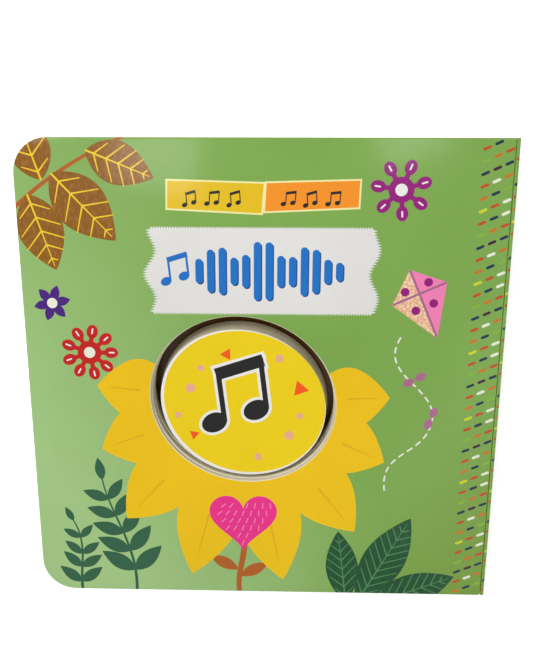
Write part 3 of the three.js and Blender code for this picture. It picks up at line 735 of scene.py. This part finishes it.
def pink_heart(x, y, size):
    """A heart with short light strokes in rows that lean with it.

    A stroke that would leave the heart is dropped.
    """
    parts = [("hot_pink", heart(x, y, size))]
    core = heart(x, y, 0.94 * size)
    for row in range(7):
        for column in range(-3, 4):
            px = x + (column + 0.5 * (row % 2)) * size * 0.115
            py = y + (row - 3.2) * size * 0.12
            mark = bar(px, py, 2.7, 0.45, np.radians(70 + 9 * column), 3)
            if inside(core, mark).all():
                parts.append(("light_pink", mark))
    return parts


stem = bend((-8, -64), (-6, -74), (-12, -82), (-9, -93))
flower = [
    ("stem_brown", stroke(stem, 2.6, 2.0)),
    ("stem_brown", leaf(-9.5, -83, 13, 5.0, np.radians(28))),
    ("stem_brown", leaf(-9.8, -80, 13, 5.0, np.radians(152))),
    *petal_fan(),
    *pink_heart(-8.0, -57.5, 27.0),
]


# %% Sprigs and fronds
def sprig(path, ink, size, pairs, spread=0.9, width=1.3):
    """A stem with paired leaves that shrink towards its tip."""
    parts = [(ink, stroke(path, width, 0.4 * width))]
    along = np.gradient(path, axis=0)
    picks = np.linspace(0.18, 0.98, pairs)
    for k, s in enumerate(picks):
        i = int(s * (len(path) - 1))
        heading = np.arctan2(along[i, 1], along[i, 0])
        length = size * (1 - 0.45 * s)
        sides = (-1, 1) if k < pairs - 1 else (0,)
        for side in sides:
            parts.append((ink, leaf(*path[i], length, 0.42 * length, heading + side * spread, 0.85, 16)))
    return parts


foliage = [
    *sprig(bend((-52, -92), (-50, -70), (-62, -56), (-64, -40), 40), "fern_green", 17.0, 6),
    *sprig(bend((-74, -92), (-76, -82), (-70, -70), (-77, -58), 30), "fern_green", 12.0, 5),
]
for x, y, length, width, degrees, pairs in (
    (38.0, -95.0, 44.0, 17.0, 62, 9), (42.0, -96.0, 38.0, 15.0, 22, 8), (34.0, -95.0, 33.0, 13.0, 97, 7),
):
    foliage += veined_leaf("night_green", "fern_vein", x, y, length, width, np.radians(degrees), pairs,
                           line=0.7, slant=0.9)



# %% The kite and its dashed string
def kite(x, y, size, turn):
    """A paper kite in two tones, with its spars and spots. Its dashed string and two bows are added apart."""
    diamond = np.array([[0, -0.62], [0.4, 0.06], [0, 0.42], [-0.4, 0.06]]) * size
    half = np.array([[0, -0.62], [0.4, 0.06], [0, 0.42]]) * size
    parts = [("kite_paper", turned(diamond, turn, x, y)), ("light_pink", turned(half, turn, x, y))]
    for a, b in (((0, -0.6), (0, 0.41)), ((-0.39, 0.06), (0.39, 0.06))):
        parts.append(("rose", turned(stroke([np.array(a) * size, np.array(b) * size], 0.9), turn, x, y)))
    for px, py in ((-0.17, 0.16), (0.17, 0.16), (-0.13, -0.14), (0.13, -0.14)):
        parts.append(("magenta", turned(ring(px * size, py * size, 0.06 * size, count=18), turn, x, y)))
    return parts


def dashes(path, ink, length, gap, width):
    """A path broken into dashes of equal length."""
    steps = np.r_[0, np.cumsum(np.linalg.norm(np.diff(path, axis=0), axis=1))]
    parts = []
    for start in np.arange(0, steps[-1] - length, length + gap):
        s = np.linspace(start, start + length, 4)
        piece = np.c_[np.interp(s, steps, path[:, 0]), np.interp(s, steps, path[:, 1])]
        parts.append((ink, stroke(piece, width)))
    return parts


KITE = {"x": 58.0, "y": 33.0, "size": 27.0, "turn": np.radians(24)}
string = np.vstack([
    bend((51.3, 17.9), (42, 2), (70, -2), (64, -18), 40)[:-1],
    bend((64, -18), (60, -30), (44, -28), (48, -46), 40),
])
kite_parts = [*dashes(string, "paper_white", 2.5, 1.5, 0.62), *kite(**KITE)]
for bx, by, lean in ((57.2, 1.4, 0.5), (64.2, -14.0, 1.2)):
    kite_parts += [("rose", leaf(bx, by, 5.0, 3.2, lean)), ("rose", leaf(bx, by, 5.0, 3.2, lean + np.pi))]


# %% The label with its sound wave
def torn_label(x0, x1, y0, y1):
    """A paper strip with a fine saw edge all round, and ends that also bulge and pull in."""
    pitch, tooth = 1.0, 0.8
    across = np.arange(x0, x1, pitch / 2)
    saw = np.where(np.arange(len(across)) % 2, tooth, 0.0)
    up = np.arange(y0, y1, pitch / 2)
    end_saw = np.where(np.arange(len(up)) % 2, 2 * tooth, 0.0)
    wave = 1.8 * np.sin((up - y0) / (y1 - y0) * 3.3 * np.pi) * np.sin((up - y0) / (y1 - y0) * np.pi) ** 0.4
    return np.vstack([
        np.c_[across, y0 - saw], np.c_[x1 + end_saw + wave, up],
        np.c_[across[::-1], y1 + saw], np.c_[x0 - end_saw + 1.2 * wave[::-1], up[::-1]],
    ])


def sound_wave(x, y, count, pitch, reach):
    """Upright bars whose height swells and fades, with a dark print below each for its shadow."""
    parts = []
    places = x + (np.arange(count) - (count - 1) / 2) * pitch
    fade = np.sin(np.linspace(0.5, 2.8, count))
    swell = 0.22 + 0.78 * np.abs(np.sin(np.linspace(0.5, 3.1 * np.pi, count))) * fade
    for ink, shift in (("deep_blue", 0.45), ("wave_blue", 0.0)):
        for px, share in zip(places, swell):
            parts.append((ink, bar(px + shift, y - shift, reach * share, 2.7, np.pi / 2, 8)))
    return parts


def note(ink, x, y, size, turn=0.0, grow=0.0):
    """Two beamed notes: heads, stems and a slanted beam. grow fattens every part by that many millimetres."""
    parts = []
    for dx in (0.0, 0.62):
        head = ring(dx * size, dx * 0.2 * size, 0.19 * size + grow, 0.145 * size + grow, 0.35, 28)
        top = (0.15 + dx) * size
        upright = [(top, 0.2 * dx * size), (top, (0.76 + 0.2 * dx) * size + grow)]
        parts += [head, stroke(upright, 0.075 * size + 2 * grow)]
    beam = [(0.113 * size - grow, 0.71 * size), (0.807 * size + grow, 0.849 * size)]
    parts.append(stroke(beam, 0.18 * size + 2 * grow))
    return [(ink, turned(part, turn, x, y)) for part in parts]


label = [
    ("label_white", torn_label(-41.0, 40.0, 26.8, 58.0)),
    *sound_wave(2.0, 42.4, 13, 4.3, 23.0),
    *note("wave_blue", -36.0, 38.5, 11.0, 0.1),
]


# %% Ribbons
def ribbon(corners, ink):
    """A ribbon with a narrow pale edge: the inner shape is the outer one drawn in towards its middle."""
    outer = np.array(corners, float)
    middle = outer.mean(axis=0)
    reach = outer - middle
    inner = middle + reach * (1 - 0.62 / np.abs(reach))
    return [("ribbon_edge", outer), (ink, inner)]


ribbons = [
    *ribbon([(-35.5, 64.6), (-0.3, 62.9), (0.6, 74.6), (-35.2, 75.6)], "ribbon_yellow"),
    *ribbon([(-0.2, 63.6), (34.6, 65.2), (34.9, 75.8), (0.4, 74.8)], "ribbon_orange"),
]
for k, px in enumerate((-28.5, -20.5, -12.5, 7.0, 15.0, 23.0)):
    ribbons += note("ink_black", px, 66.4 + 0.5 * (k % 2), 5.4, 0.08 * (-1) ** k)

front_art = [*corner_leaves, *foliage, *rosettes, *flower, *kite_parts, *label, *ribbons,
             *stitches(BAND, STITCH["tilt"])]
print(len(front_art), "printed shapes on the front")

# %% Front cover
DOTS = {"x": LEFT + 14, "y": BOTTOM + 12, "pitch": 17, "stagger": 8, "radius": 1.7, "off_hole": 41,
        "off_top": 6}
inside_dots = []
for i in range(10):
    for j in range(10):
        x, y = DOTS["x"] + DOTS["pitch"] * i, DOTS["y"] + DOTS["pitch"] * j + DOTS["stagger"] * (i % 2)
        if np.hypot(x - HOLE["x"], y - HOLE["y"]) > DOTS["off_hole"] and y < TOP - DOTS["off_top"]:
            inside_dots.append(("stitch_leaf", ring(x, y, DOTS["radius"], count=16)))
front_cover = make_board("front_cover_board", "front_cover", [hole_ring(EDGE_ROUND)], front_art, inside_dots,
                         ("leaf_green", "cream"))
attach(front_cover, "front")
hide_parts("front_cover")
print("front cover:", len(front_cover.data.polygons), "faces,", len(front_cover.data.materials), "inks")

# %% [markdown]
# ## The pages
# The leaves are bound as one block, but each of them is still seen at the edge, so the block's wall is
# stepped: out over a leaf, and in where two leaves meet. That stepped wall also runs round the hole, where
# the photo shows it best. The faces at the back of each step in, between two leaves, are dark brown: painted
# shade.

# %% Page block
LEAVES, GROOVE_WIDTH, GROOVE_DEPTH = 5, 0.2, 1.5
pages_low, pages_high = heights("page_block")
leaf_pitch = (pages_high - pages_low) / LEAVES


def meadow(shift, flower_ink, core):
    """A page: sky, clouds, two hills and a few flowers on stalks."""
    parts = [("cloud", ring(-50 + shift + dx, 62 + dy, r, 0.7 * r)) for dx, dy, r in
             ((0, 0, 14), (14, 3, 10), (-13, -2, 9), (88, -8, 12), (99, -6, 9))]
    parts += [("hill", ring(-40 + shift, -100, 110, 88)), ("leaf_green", ring(60 - shift, -110, 105, 72))]
    for x, y in ((-74, -58), (-60, -70), (50, -66), (66, -56), (76, -74)):
        stalk = bend((x, y - 16), (x + 2, y - 9), (x - 2, y - 4), (x, y), 8)
        parts.append(("fern_green", stroke(stalk, 1.2)))
        parts += daisy(x, y, 8.0, 7, flower_ink, core, 0.4)
    return parts


def stepped_wall(low, pitch, steps_in):
    """A stack's wall from its top down: (push, height, step into the hole) points, and each step's finish."""
    soft, points, finishes, count = 0.12, [], [], len(steps_in)
    for k, step_in in zip(reversed(range(count)), steps_in):
        bottom = low + k * pitch + (GROOVE_WIDTH / 2 if k else 0)
        top = low + (k + 1) * pitch - (GROOVE_WIDTH / 2 if k < count - 1 else 0)
        above, below = (EDGE_ROUND - GROOVE_DEPTH if joined else 0.0 for joined in (k < count - 1, k > 0))
        points += [
            (above, top, 0.0), (EDGE_ROUND - soft, top, step_in), (EDGE_ROUND, top - soft, step_in),
            (EDGE_ROUND, bottom + soft, step_in), (EDGE_ROUND - soft, bottom, step_in), (below, bottom, 0.0),
        ]
        # The face deep between two leaves takes the dark brown of the painted shade.
        finishes += ["board_edge"] * 5 + ["groove"]
    return points, finishes[:-1]


page_block = make_board(
    "bound_pages", "page_block", [hole_ring(EDGE_ROUND)], meadow(0, "red", "petal_yellow"),
    meadow(12, "violet", "vein_yellow"), ("sky", "cream"),
    wall=stepped_wall(pages_low, leaf_pitch, (0.4, 0.05, 0.45, 0.1, 0.0)),
)
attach(page_block, "pages")
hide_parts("page_block")
print("page block:", len(page_block.data.polygons), "faces")

# %% [markdown]
# ## The boards behind the pages
# Three boards stay with the back of the book: the last page, the thick frame round the sound module, and the
# back cover with its window for the battery panel. They come from the same maker, each with its own holes and
# print. Under the hole the last page carries a dark brown ring, which is painted shade on the floor of the
# well.

# %% Back boards
MODULE = {"x": -7.8, "y": -9.3}
FLANGE_HOLE = 23.0
POCKET_GAP, POCKET_CORNER = 0.3, 4.0
WINDOW = {"left": -48.1, "right": 34.5, "bottom": -43.6, "top": -12.0}


def box_ring(x0, x1, y0, y1, radius=0.0, count=6):
    """A rectangle, with rounded corners where a radius is given."""
    if not radius:
        return np.array([(x0, y0), (x1, y0), (x1, y1), (x0, y1)], float)
    corners = ((x1, y0, -90), (x1, y1, 0), (x0, y1, 90), (x0, y0, 180))
    arcs = []
    for x, y, start in corners:
        t = np.radians(np.linspace(start, start + 90, count))
        centre = (np.clip(x, x0 + radius, x1 - radius), np.clip(y, y0 + radius, y1 - radius))
        arcs.append(np.c_[np.cos(t), np.sin(t)] * radius + centre)
    return np.vstack(arcs)


# The dark brown ring under the hole is painted shade: the floor of the well is in shade.
inner_page = make_board(
    "last_page", "inner_back_page", [ring(MODULE["x"], MODULE["y"], FLANGE_HOLE + EDGE_ROUND, count=64)],
    [*meadow(6, "hot_pink", "petal_yellow"), ("well_brown", hole_ring(0.8))], [], ("sky", "greyboard"),
)
base_low, base_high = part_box("housing_base")
pocket = box_ring(base_low.x / MM - POCKET_GAP, base_high.x / MM + POCKET_GAP, base_low.y / MM - POCKET_GAP,
                  base_high.y / MM + POCKET_GAP, POCKET_CORNER)
module_frame = make_board("module_frame_board", "module_frame", [pocket], [], [], ("greyboard", "greyboard"),
                          rounding=0.0)
window = box_ring(WINDOW["left"] - EDGE_ROUND, WINDOW["right"] + EDGE_ROUND, WINDOW["bottom"] - EDGE_ROUND,
                  WINDOW["top"] + EDGE_ROUND)
back_art = [
    *rosette(46.0, 56.0, 13.0, 7, "magenta", "paper_white", "paper_white", 0.2),
    *rosette(-58.0, 58.0, 12.0, 9, "red", "stitch_cream", "paper_white"),
    *daisy(-70.0, -66.0, 10.0, 6, "violet", "stitch_cream"),
    *daisy(2.0, 40.0, 11.0, 8, "petal_yellow", "orange"),
    *sprig(bend((-30, -88), (-34, -76), (-20, -66), (-26, -52), 30), "fern_green", 13.0, 5),
    *stitches(BAND, STITCH["tilt"]),
]
back_cover = make_board("back_cover_board", "back_cover", [window], [], back_art, ("greyboard", "leaf_green"))
for board, node, slot in (
    (inner_page, "inner_back_page", "printed_page"), (module_frame, "module_frame", "greyboard"),
    (back_cover, "back_cover", "printed_cover"),
):
    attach(board, "back")
    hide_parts(node)
print("back boards reach", round(heights("inner_back_page")[1], 2), "mm")

# %% [markdown]
# ## The spine strip
# The spine is printed flat and then folded round the pages, so it is drawn flat here too: u is the way along
# its section and y runs up the book. Bands of u are cut first, which puts a crease at every row of the
# section. Then each point is carried to its place on the section.

# %% Spine strip
spine_low, spine_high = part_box("spine_strip")
SPINE = {"inner": spine_low.x / MM, "outer": spine_high.x / MM, "foot": spine_low.z / MM,
         "head": spine_high.z / MM, "shoulder": 1.0}


def spine_section():
    """Rows of the section from its foot to its head: outer x, and height."""
    bend_angles = np.radians(np.linspace(-90, 0, 6))
    x = SPINE["outer"] - SPINE["shoulder"] + SPINE["shoulder"] * np.cos(bend_angles)
    low = SPINE["foot"] + SPINE["shoulder"] * (1 + np.sin(bend_angles))
    straight = np.linspace(low[-1], SPINE["head"] - SPINE["shoulder"], 24)[1:-1]
    outer = np.r_[x, np.full(len(straight), SPINE["outer"]), x[::-1]]
    return outer, np.r_[low, straight, (SPINE["foot"] + SPINE["head"] - low)[::-1]]


outer_x, row_z = spine_section()
path = np.vstack([(SPINE["inner"], row_z[0]), np.c_[outer_x, row_z], (SPINE["inner"], row_z[-1])])
path_u = np.r_[0, np.cumsum(np.linalg.norm(np.diff(path, axis=0), axis=1))]
bands = [("leaf_green", box_ring(a, b, BOTTOM, TOP)) for a, b in zip(path_u[:-1], path_u[1:])]
spine_columns = path_u[-1] - SPINE_STITCH["first"] - SPINE_STITCH["column"] * np.arange(4)
spine_art = stitches(spine_columns, -STITCH["tilt"], SPINE_STITCH["first_row"])
strip = box_ring(0, path_u[-1], BOTTOM, TOP)
flat, strip_faces, strip_slots = cut_sheet(strip, [], bands + spine_art, "leaf_green")
folded_x, folded_z = (np.interp(flat[:, 0], path_u, path[:, axis]) for axis in (0, 1))
folded = np.c_[folded_x, flat[:, 1], folded_z]
rows, shift = len(row_z), len(folded)
inner_x = np.full(rows, SPINE["inner"])
corners = [np.c_[x, np.full(rows, y), row_z] for x in (outer_x, inner_x) for y in (BOTTOM, TOP)]
k = np.arange(rows - 1)
outer_bottom, outer_top, inner_bottom, inner_top = (shift + k + rows * i for i in range(4))
walls = np.vstack([
    np.c_[inner_bottom, inner_bottom + 1, inner_top + 1, inner_top],
    np.c_[outer_bottom, outer_bottom + 1, inner_bottom + 1, inner_bottom],
    np.c_[inner_top, inner_top + 1, outer_top + 1, outer_top],
])
spine_strip = add_mesh(
    "spine_strip_print", np.vstack([folded, *corners]), strip_faces[:, ::-1].tolist() + walls.tolist(),
    strip_slots + ["leaf_green"] * (rows - 1) + ["board_edge"] * (2 * rows - 2), smooth_under=40.0,
)
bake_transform(spine_strip)
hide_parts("spine_strip")
print("spine strip:", len(spine_strip.data.polygons), "faces")

# %% [markdown]
# ## The button
# The button is a printed card on a thick pad of foam. The print sits a little off centre on its card, so a
# white margin is left at its lower left, as on many cheaply printed books. The foam spreads a little at its
# foot.

# %% Button card
CARD = {"long": 32.32, "short": 28.92}


def card_ring(growth=0.0, dx=0.0, dy=0.0):
    x, y = MODULE["x"] + dx, MODULE["y"] + dy
    return ring(x, y, CARD["long"] + growth, CARD["short"] + growth, HOLE["turn"], OVAL_POINTS)


print("the button is", 2 * CARD["long"], "by", 2 * CARD["short"], "mm")
triangle = np.array([(0, 0.6), (-0.52, -0.3), (0.52, -0.3)])
button_art = [
    ("button_yellow", card_ring(-0.75, 0.5, 0.3)),
    *note("paper_white", -19.0, -17.0, 27.0, 0.12, 1.1), *note("ink_black", -19.0, -17.0, 27.0, 0.12),
]
for x, y, r in ((-28, -3, 1.9), (-24, 5, 1.3), (10, -22, 1.9), (14, -14, 1.3), (-2, -31, 1.5), (6, 9, 1.6),
                (-33, -14, 1.3)):
    button_art.append(("peach", ring(x, y, r, count=20)))
for size, turn, x, y in ((6.0, 0.35, 14.0, -3.0), (4.4, -0.5, -14.0, 10.5), (3.8, 0.9, -27.0, -22.0)):
    button_art.append(("orange", turned(triangle * size, turn, x, y)))
button_card = make_board("button_card_print", "button_card", [], button_art, [], ("paper_white", "greyboard"),
                         border=card_ring(-EDGE_ROUND))

# %% Button pad
def tube_faces(steps, sides):
    """Quads between neighbouring rings, and a face on each end."""
    i, j = np.meshgrid(np.arange(steps - 1), np.arange(sides), indexing="ij")
    j_next = (j + 1) % sides
    below, above = i * sides, (i + 1) * sides
    quads = np.stack([below + j, below + j_next, above + j_next, above + j], axis=-1)
    ends = [list(range(sides))[::-1], [(steps - 1) * sides + k for k in range(sides)]]
    return quads.reshape(-1, 4).tolist() + ends


pad_low, pad_high = heights("button_pad")
FLARE = 1.2
level = np.linspace(0, 1, 9)
pad_rings = []
for share in level:
    outline = card_ring(FLARE * (1 - share) ** 1.5)
    pad_rings.append(np.c_[outline, np.full(len(outline), pad_low + share * (pad_high - pad_low))])
pad_faces = tube_faces(len(level), len(outline))
MATERIALS["foam"] = surface("button_foam", "D2CCB4", 0.92, scale=2600.0, depth=0.25, bump_mm=0.05)
button_pad = add_mesh("button_pad_foam", np.vstack(pad_rings), pad_faces, "foam", smooth_under=50.0)
for piece, node, slot in (
    (button_card, "button_card", "button_print"), (button_pad, "button_pad", "button_foam"),
):
    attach(piece, "button")
    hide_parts(node)
print("button top at", round(heights("button_card")[1], 2), "mm")

# %% [markdown]
# ## The pieces inside
# The sound module's pieces keep the shapes of the measured model and get finishes of their own: a grained
# black moulding, green laminate, rolled and drawn steel, a ferrite magnet, a paper cone, and coloured wires.

# %% Finishes of the inner pieces
FINISHES = {
    "housing": (surface("housing_plastic", "1C1C1E", 0.5, 2200.0, 1.0, 0.12, 0.0, 0.012),
                ["housing_base", "housing_lid", "battery_door"]),
    "plunger": (surface("white_plastic", "E8E6DE", 0.38, 1800.0), ["button_plunger"]),
    "laminate": (surface("circuit_laminate", "1F6A3A", 0.42, 3000.0, 1.0, 0.15), ["circuit_board"]),
    "black": (surface("black_plastic", "151515", 0.4), ["push_switch", "sound_chip"]),
    "ceramic": (surface("ceramic_body", "B08A5A", 0.5), ["capacitor"]),
    "steel": (surface("spring_steel", "C4C4C0", 0.26, 1200.0, 0.05, 0.1, 1.0, 0.002),
              ["speaker_basket", "battery_door_screw", "positive_contact", "negative_contact",
               "link_contact_1", "link_contact_2", "button_cell_1", "button_cell_2", "button_cell_3",
               *(f"housing_screw_{i}" for i in range(1, 5))]),
    "magnet": (surface("magnet_iron", "4A4A4C", 0.55, 1500.0, 1.0, 0.2, 0.6), ["speaker_magnet"]),
    "cone": (surface("cone_film", "3A3A38", 0.6, 1800.0), ["speaker_cone"]),
    "copper": (surface("coil_copper", "B8683A", 0.3, 900.0, 1.0, 0.1, 1.0), ["speaker_voice_coil"]),
    "red": (surface("wire_red", "B81C18", 0.4), ["speaker_wire_red", "battery_wire_red"]),
    "wire_black": (surface("wire_black", "161616", 0.42), ["speaker_wire_black", "battery_wire_black"]),
}
for material, nodes_with_it in FINISHES.values():
    for node in nodes_with_it:
        mesh = bpy.data.objects[node].data
        mesh.materials.clear()
        mesh.materials.append(material)
print(sum(len(names) for _, names in FINISHES.values()), "inner pieces finished")

# %% [markdown]
# ## The return spring
# A spring is a round wire carried along a helix. The measured one is coarse, so a smooth one takes its place:
# the centre of the wire climbs from the lower height to the upper one, and the first and last quarter turns
# lie flat, as the ground ends of a real spring do.

# %% Return spring
spring_low, spring_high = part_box("return_spring")
WIRE = 0.2
COIL = {"turns": 2.0, "steps": 160, "sides": 10}
spring_radius = (spring_high.x - spring_low.x) / MM / 2 - WIRE


def coil(low, high, radius, wire, turns, steps, sides):
    """A tube round a helix (r cos t, r sin t, z), where z climbs evenly between two flat quarter turns."""
    t = np.linspace(0, 2 * np.pi * turns, steps)
    climb = np.clip((t - np.pi / 2) / (2 * np.pi * turns - np.pi), 0, 1)
    centre_z = low + wire + climb * (high - low - 2 * wire)
    a = np.linspace(0, 2 * np.pi, sides, endpoint=False)
    reach = radius + wire * np.cos(a)
    x = MODULE["x"] + np.outer(np.cos(t), reach)
    y = MODULE["y"] + np.outer(np.sin(t), reach)
    z = centre_z[:, None] + wire * np.sin(a)[None, :]
    return np.stack([x, y, z], axis=-1).reshape(-1, 3)


coil_points = coil(spring_low.z / MM, spring_high.z / MM, spring_radius, WIRE, **COIL)
coil_faces = [face[::-1] for face in tube_faces(COIL["steps"], COIL["sides"])]
MATERIALS["steel"] = FINISHES["steel"][0]
spring = add_mesh("spring_wire", coil_points, coil_faces, "steel", smooth_under=60.0)
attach(spring, "back")
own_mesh(spring)
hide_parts("return_spring")

# %% [markdown]
# ## Floor, light and camera
# The photo is a product shot: even white light, almost no shadow, white all round. Two wide soft lamps and a
# pale world give that. The floor has a little glow for the camera, so that it is white and still keeps the
# shadow. From below it is clear and lets a lamp through, so that the back cover can be looked at as well. Two
# small lamps stand where the film mirrors them near the top edge, which gives the pale glints that the photo
# shows there.

# %% Floor
FLOOR_HALF, FLOOR_LEVEL = 3.0, -0.0003
signs = ((-1, -1), (1, -1), (1, 1), (-1, 1))
floor_corners = [(x * FLOOR_HALF, y * FLOOR_HALF, FLOOR_LEVEL) for x, y in signs]
floor_mesh = bpy.data.meshes.new("floor")
floor_mesh.from_pydata(floor_corners, [], [(0, 1, 2, 3)])
floor = bpy.data.objects.new("floor", floor_mesh)
bpy.context.scene.collection.objects.link(floor)
floor_material, floor_nodes, floor_shader = new_material("floor_white")
floor_mesh.materials.append(floor_material)
ray_kind = floor_nodes.add("ShaderNodeLightPath").outputs
floor_nodes.give(floor_shader, {
    "Base Color": (0.9, 0.9, 0.9, 1), "Roughness": 0.9, "Emission Color": WHITE,
    "Emission Strength": floor_nodes.times(ray_kind["Is Camera Ray"], 0.5),
})
seen_from_below = floor_nodes.add("ShaderNodeNewGeometry").outputs["Backfacing"]
clear = floor_nodes.math("MAXIMUM", seen_from_below, ray_kind["Is Shadow Ray"])
see_through = floor_nodes.add("ShaderNodeBsdfTransparent").outputs[0]
floor_mix = floor_nodes.add("ShaderNodeMixShader", {0: clear, 1: floor_shader.outputs[0], 2: see_through})
floor_nodes.give(floor_material.node_tree.nodes["Material Output"], {"Surface": floor_mix.outputs[0]})

# %% World
world = bpy.data.worlds.new("studio")
world.use_nodes = True
bpy.context.scene.world = world
tree = Nodes(world.node_tree)
world.node_tree.nodes.clear()
path_kind = tree.add("ShaderNodeLightPath").outputs
seen = tree.math("MAXIMUM", path_kind["Is Camera Ray"], path_kind["Is Glossy Ray"])
seen = tree.math("MAXIMUM", seen, path_kind["Is Transmission Ray"])
soft_fill = tree.add("ShaderNodeBackground", {"Color": (0.95, 0.97, 1.0, 1), "Strength": 0.36}).outputs[0]
backdrop = tree.add("ShaderNodeBackground", {"Color": WHITE, "Strength": 1.0}).outputs[0]
both = tree.add("ShaderNodeMixShader", {0: seen, 1: soft_fill, 2: backdrop}).outputs[0]
tree.add("ShaderNodeOutputWorld", {"Surface": both})


# %% Lamps
def lamp(name, place, target, size, power, colour=(1.0, 1.0, 1.0)):
    """A square area lamp at a place, aimed at a target."""
    data = bpy.data.lights.new(name, "AREA")
    data.shape, data.size, data.energy, data.color = "SQUARE", size, power, colour
    light = bpy.data.objects.new(name, data)
    light.location = place
    light.rotation_euler = (Vector(target) - Vector(place)).to_track_quat("-Z", "Y").to_euler()
    bpy.context.scene.collection.objects.link(light)


lamp("key", (-0.35, 0.55, 0.75), (0, 0, 0.02), 0.5, 5.0, (1.0, 0.98, 0.95))
lamp("fill", (0.6, -0.35, 0.7), (0, 0, 0.02), 0.8, 1.5, (0.96, 0.98, 1.0))
lamp("left_glint", (-0.141, 0.1, 0.6), (-0.04, 0.085, 0), 0.1, 0.26)
lamp("right_glint", (0.15, 0.125, 0.6), (0.05, 0.088, 0), 0.08, 0.16)
lamp("under", (0.2, -0.3, -0.8), (0, 0, 0), 0.8, 5.0)

# %% Camera
camera_data = bpy.data.cameras.new("camera")
camera_data.lens = 38.64
camera_data.sensor_width = 36.0
camera = bpy.data.objects.new("camera", camera_data)
camera.location = (0.00708, 0.08183, 0.27808)
camera.rotation_euler = (-0.23227, 0.02409, 0.00294)
bpy.context.scene.collection.objects.link(camera)
bpy.context.scene.camera = camera
bpy.context.scene.view_settings.view_transform = "Standard"
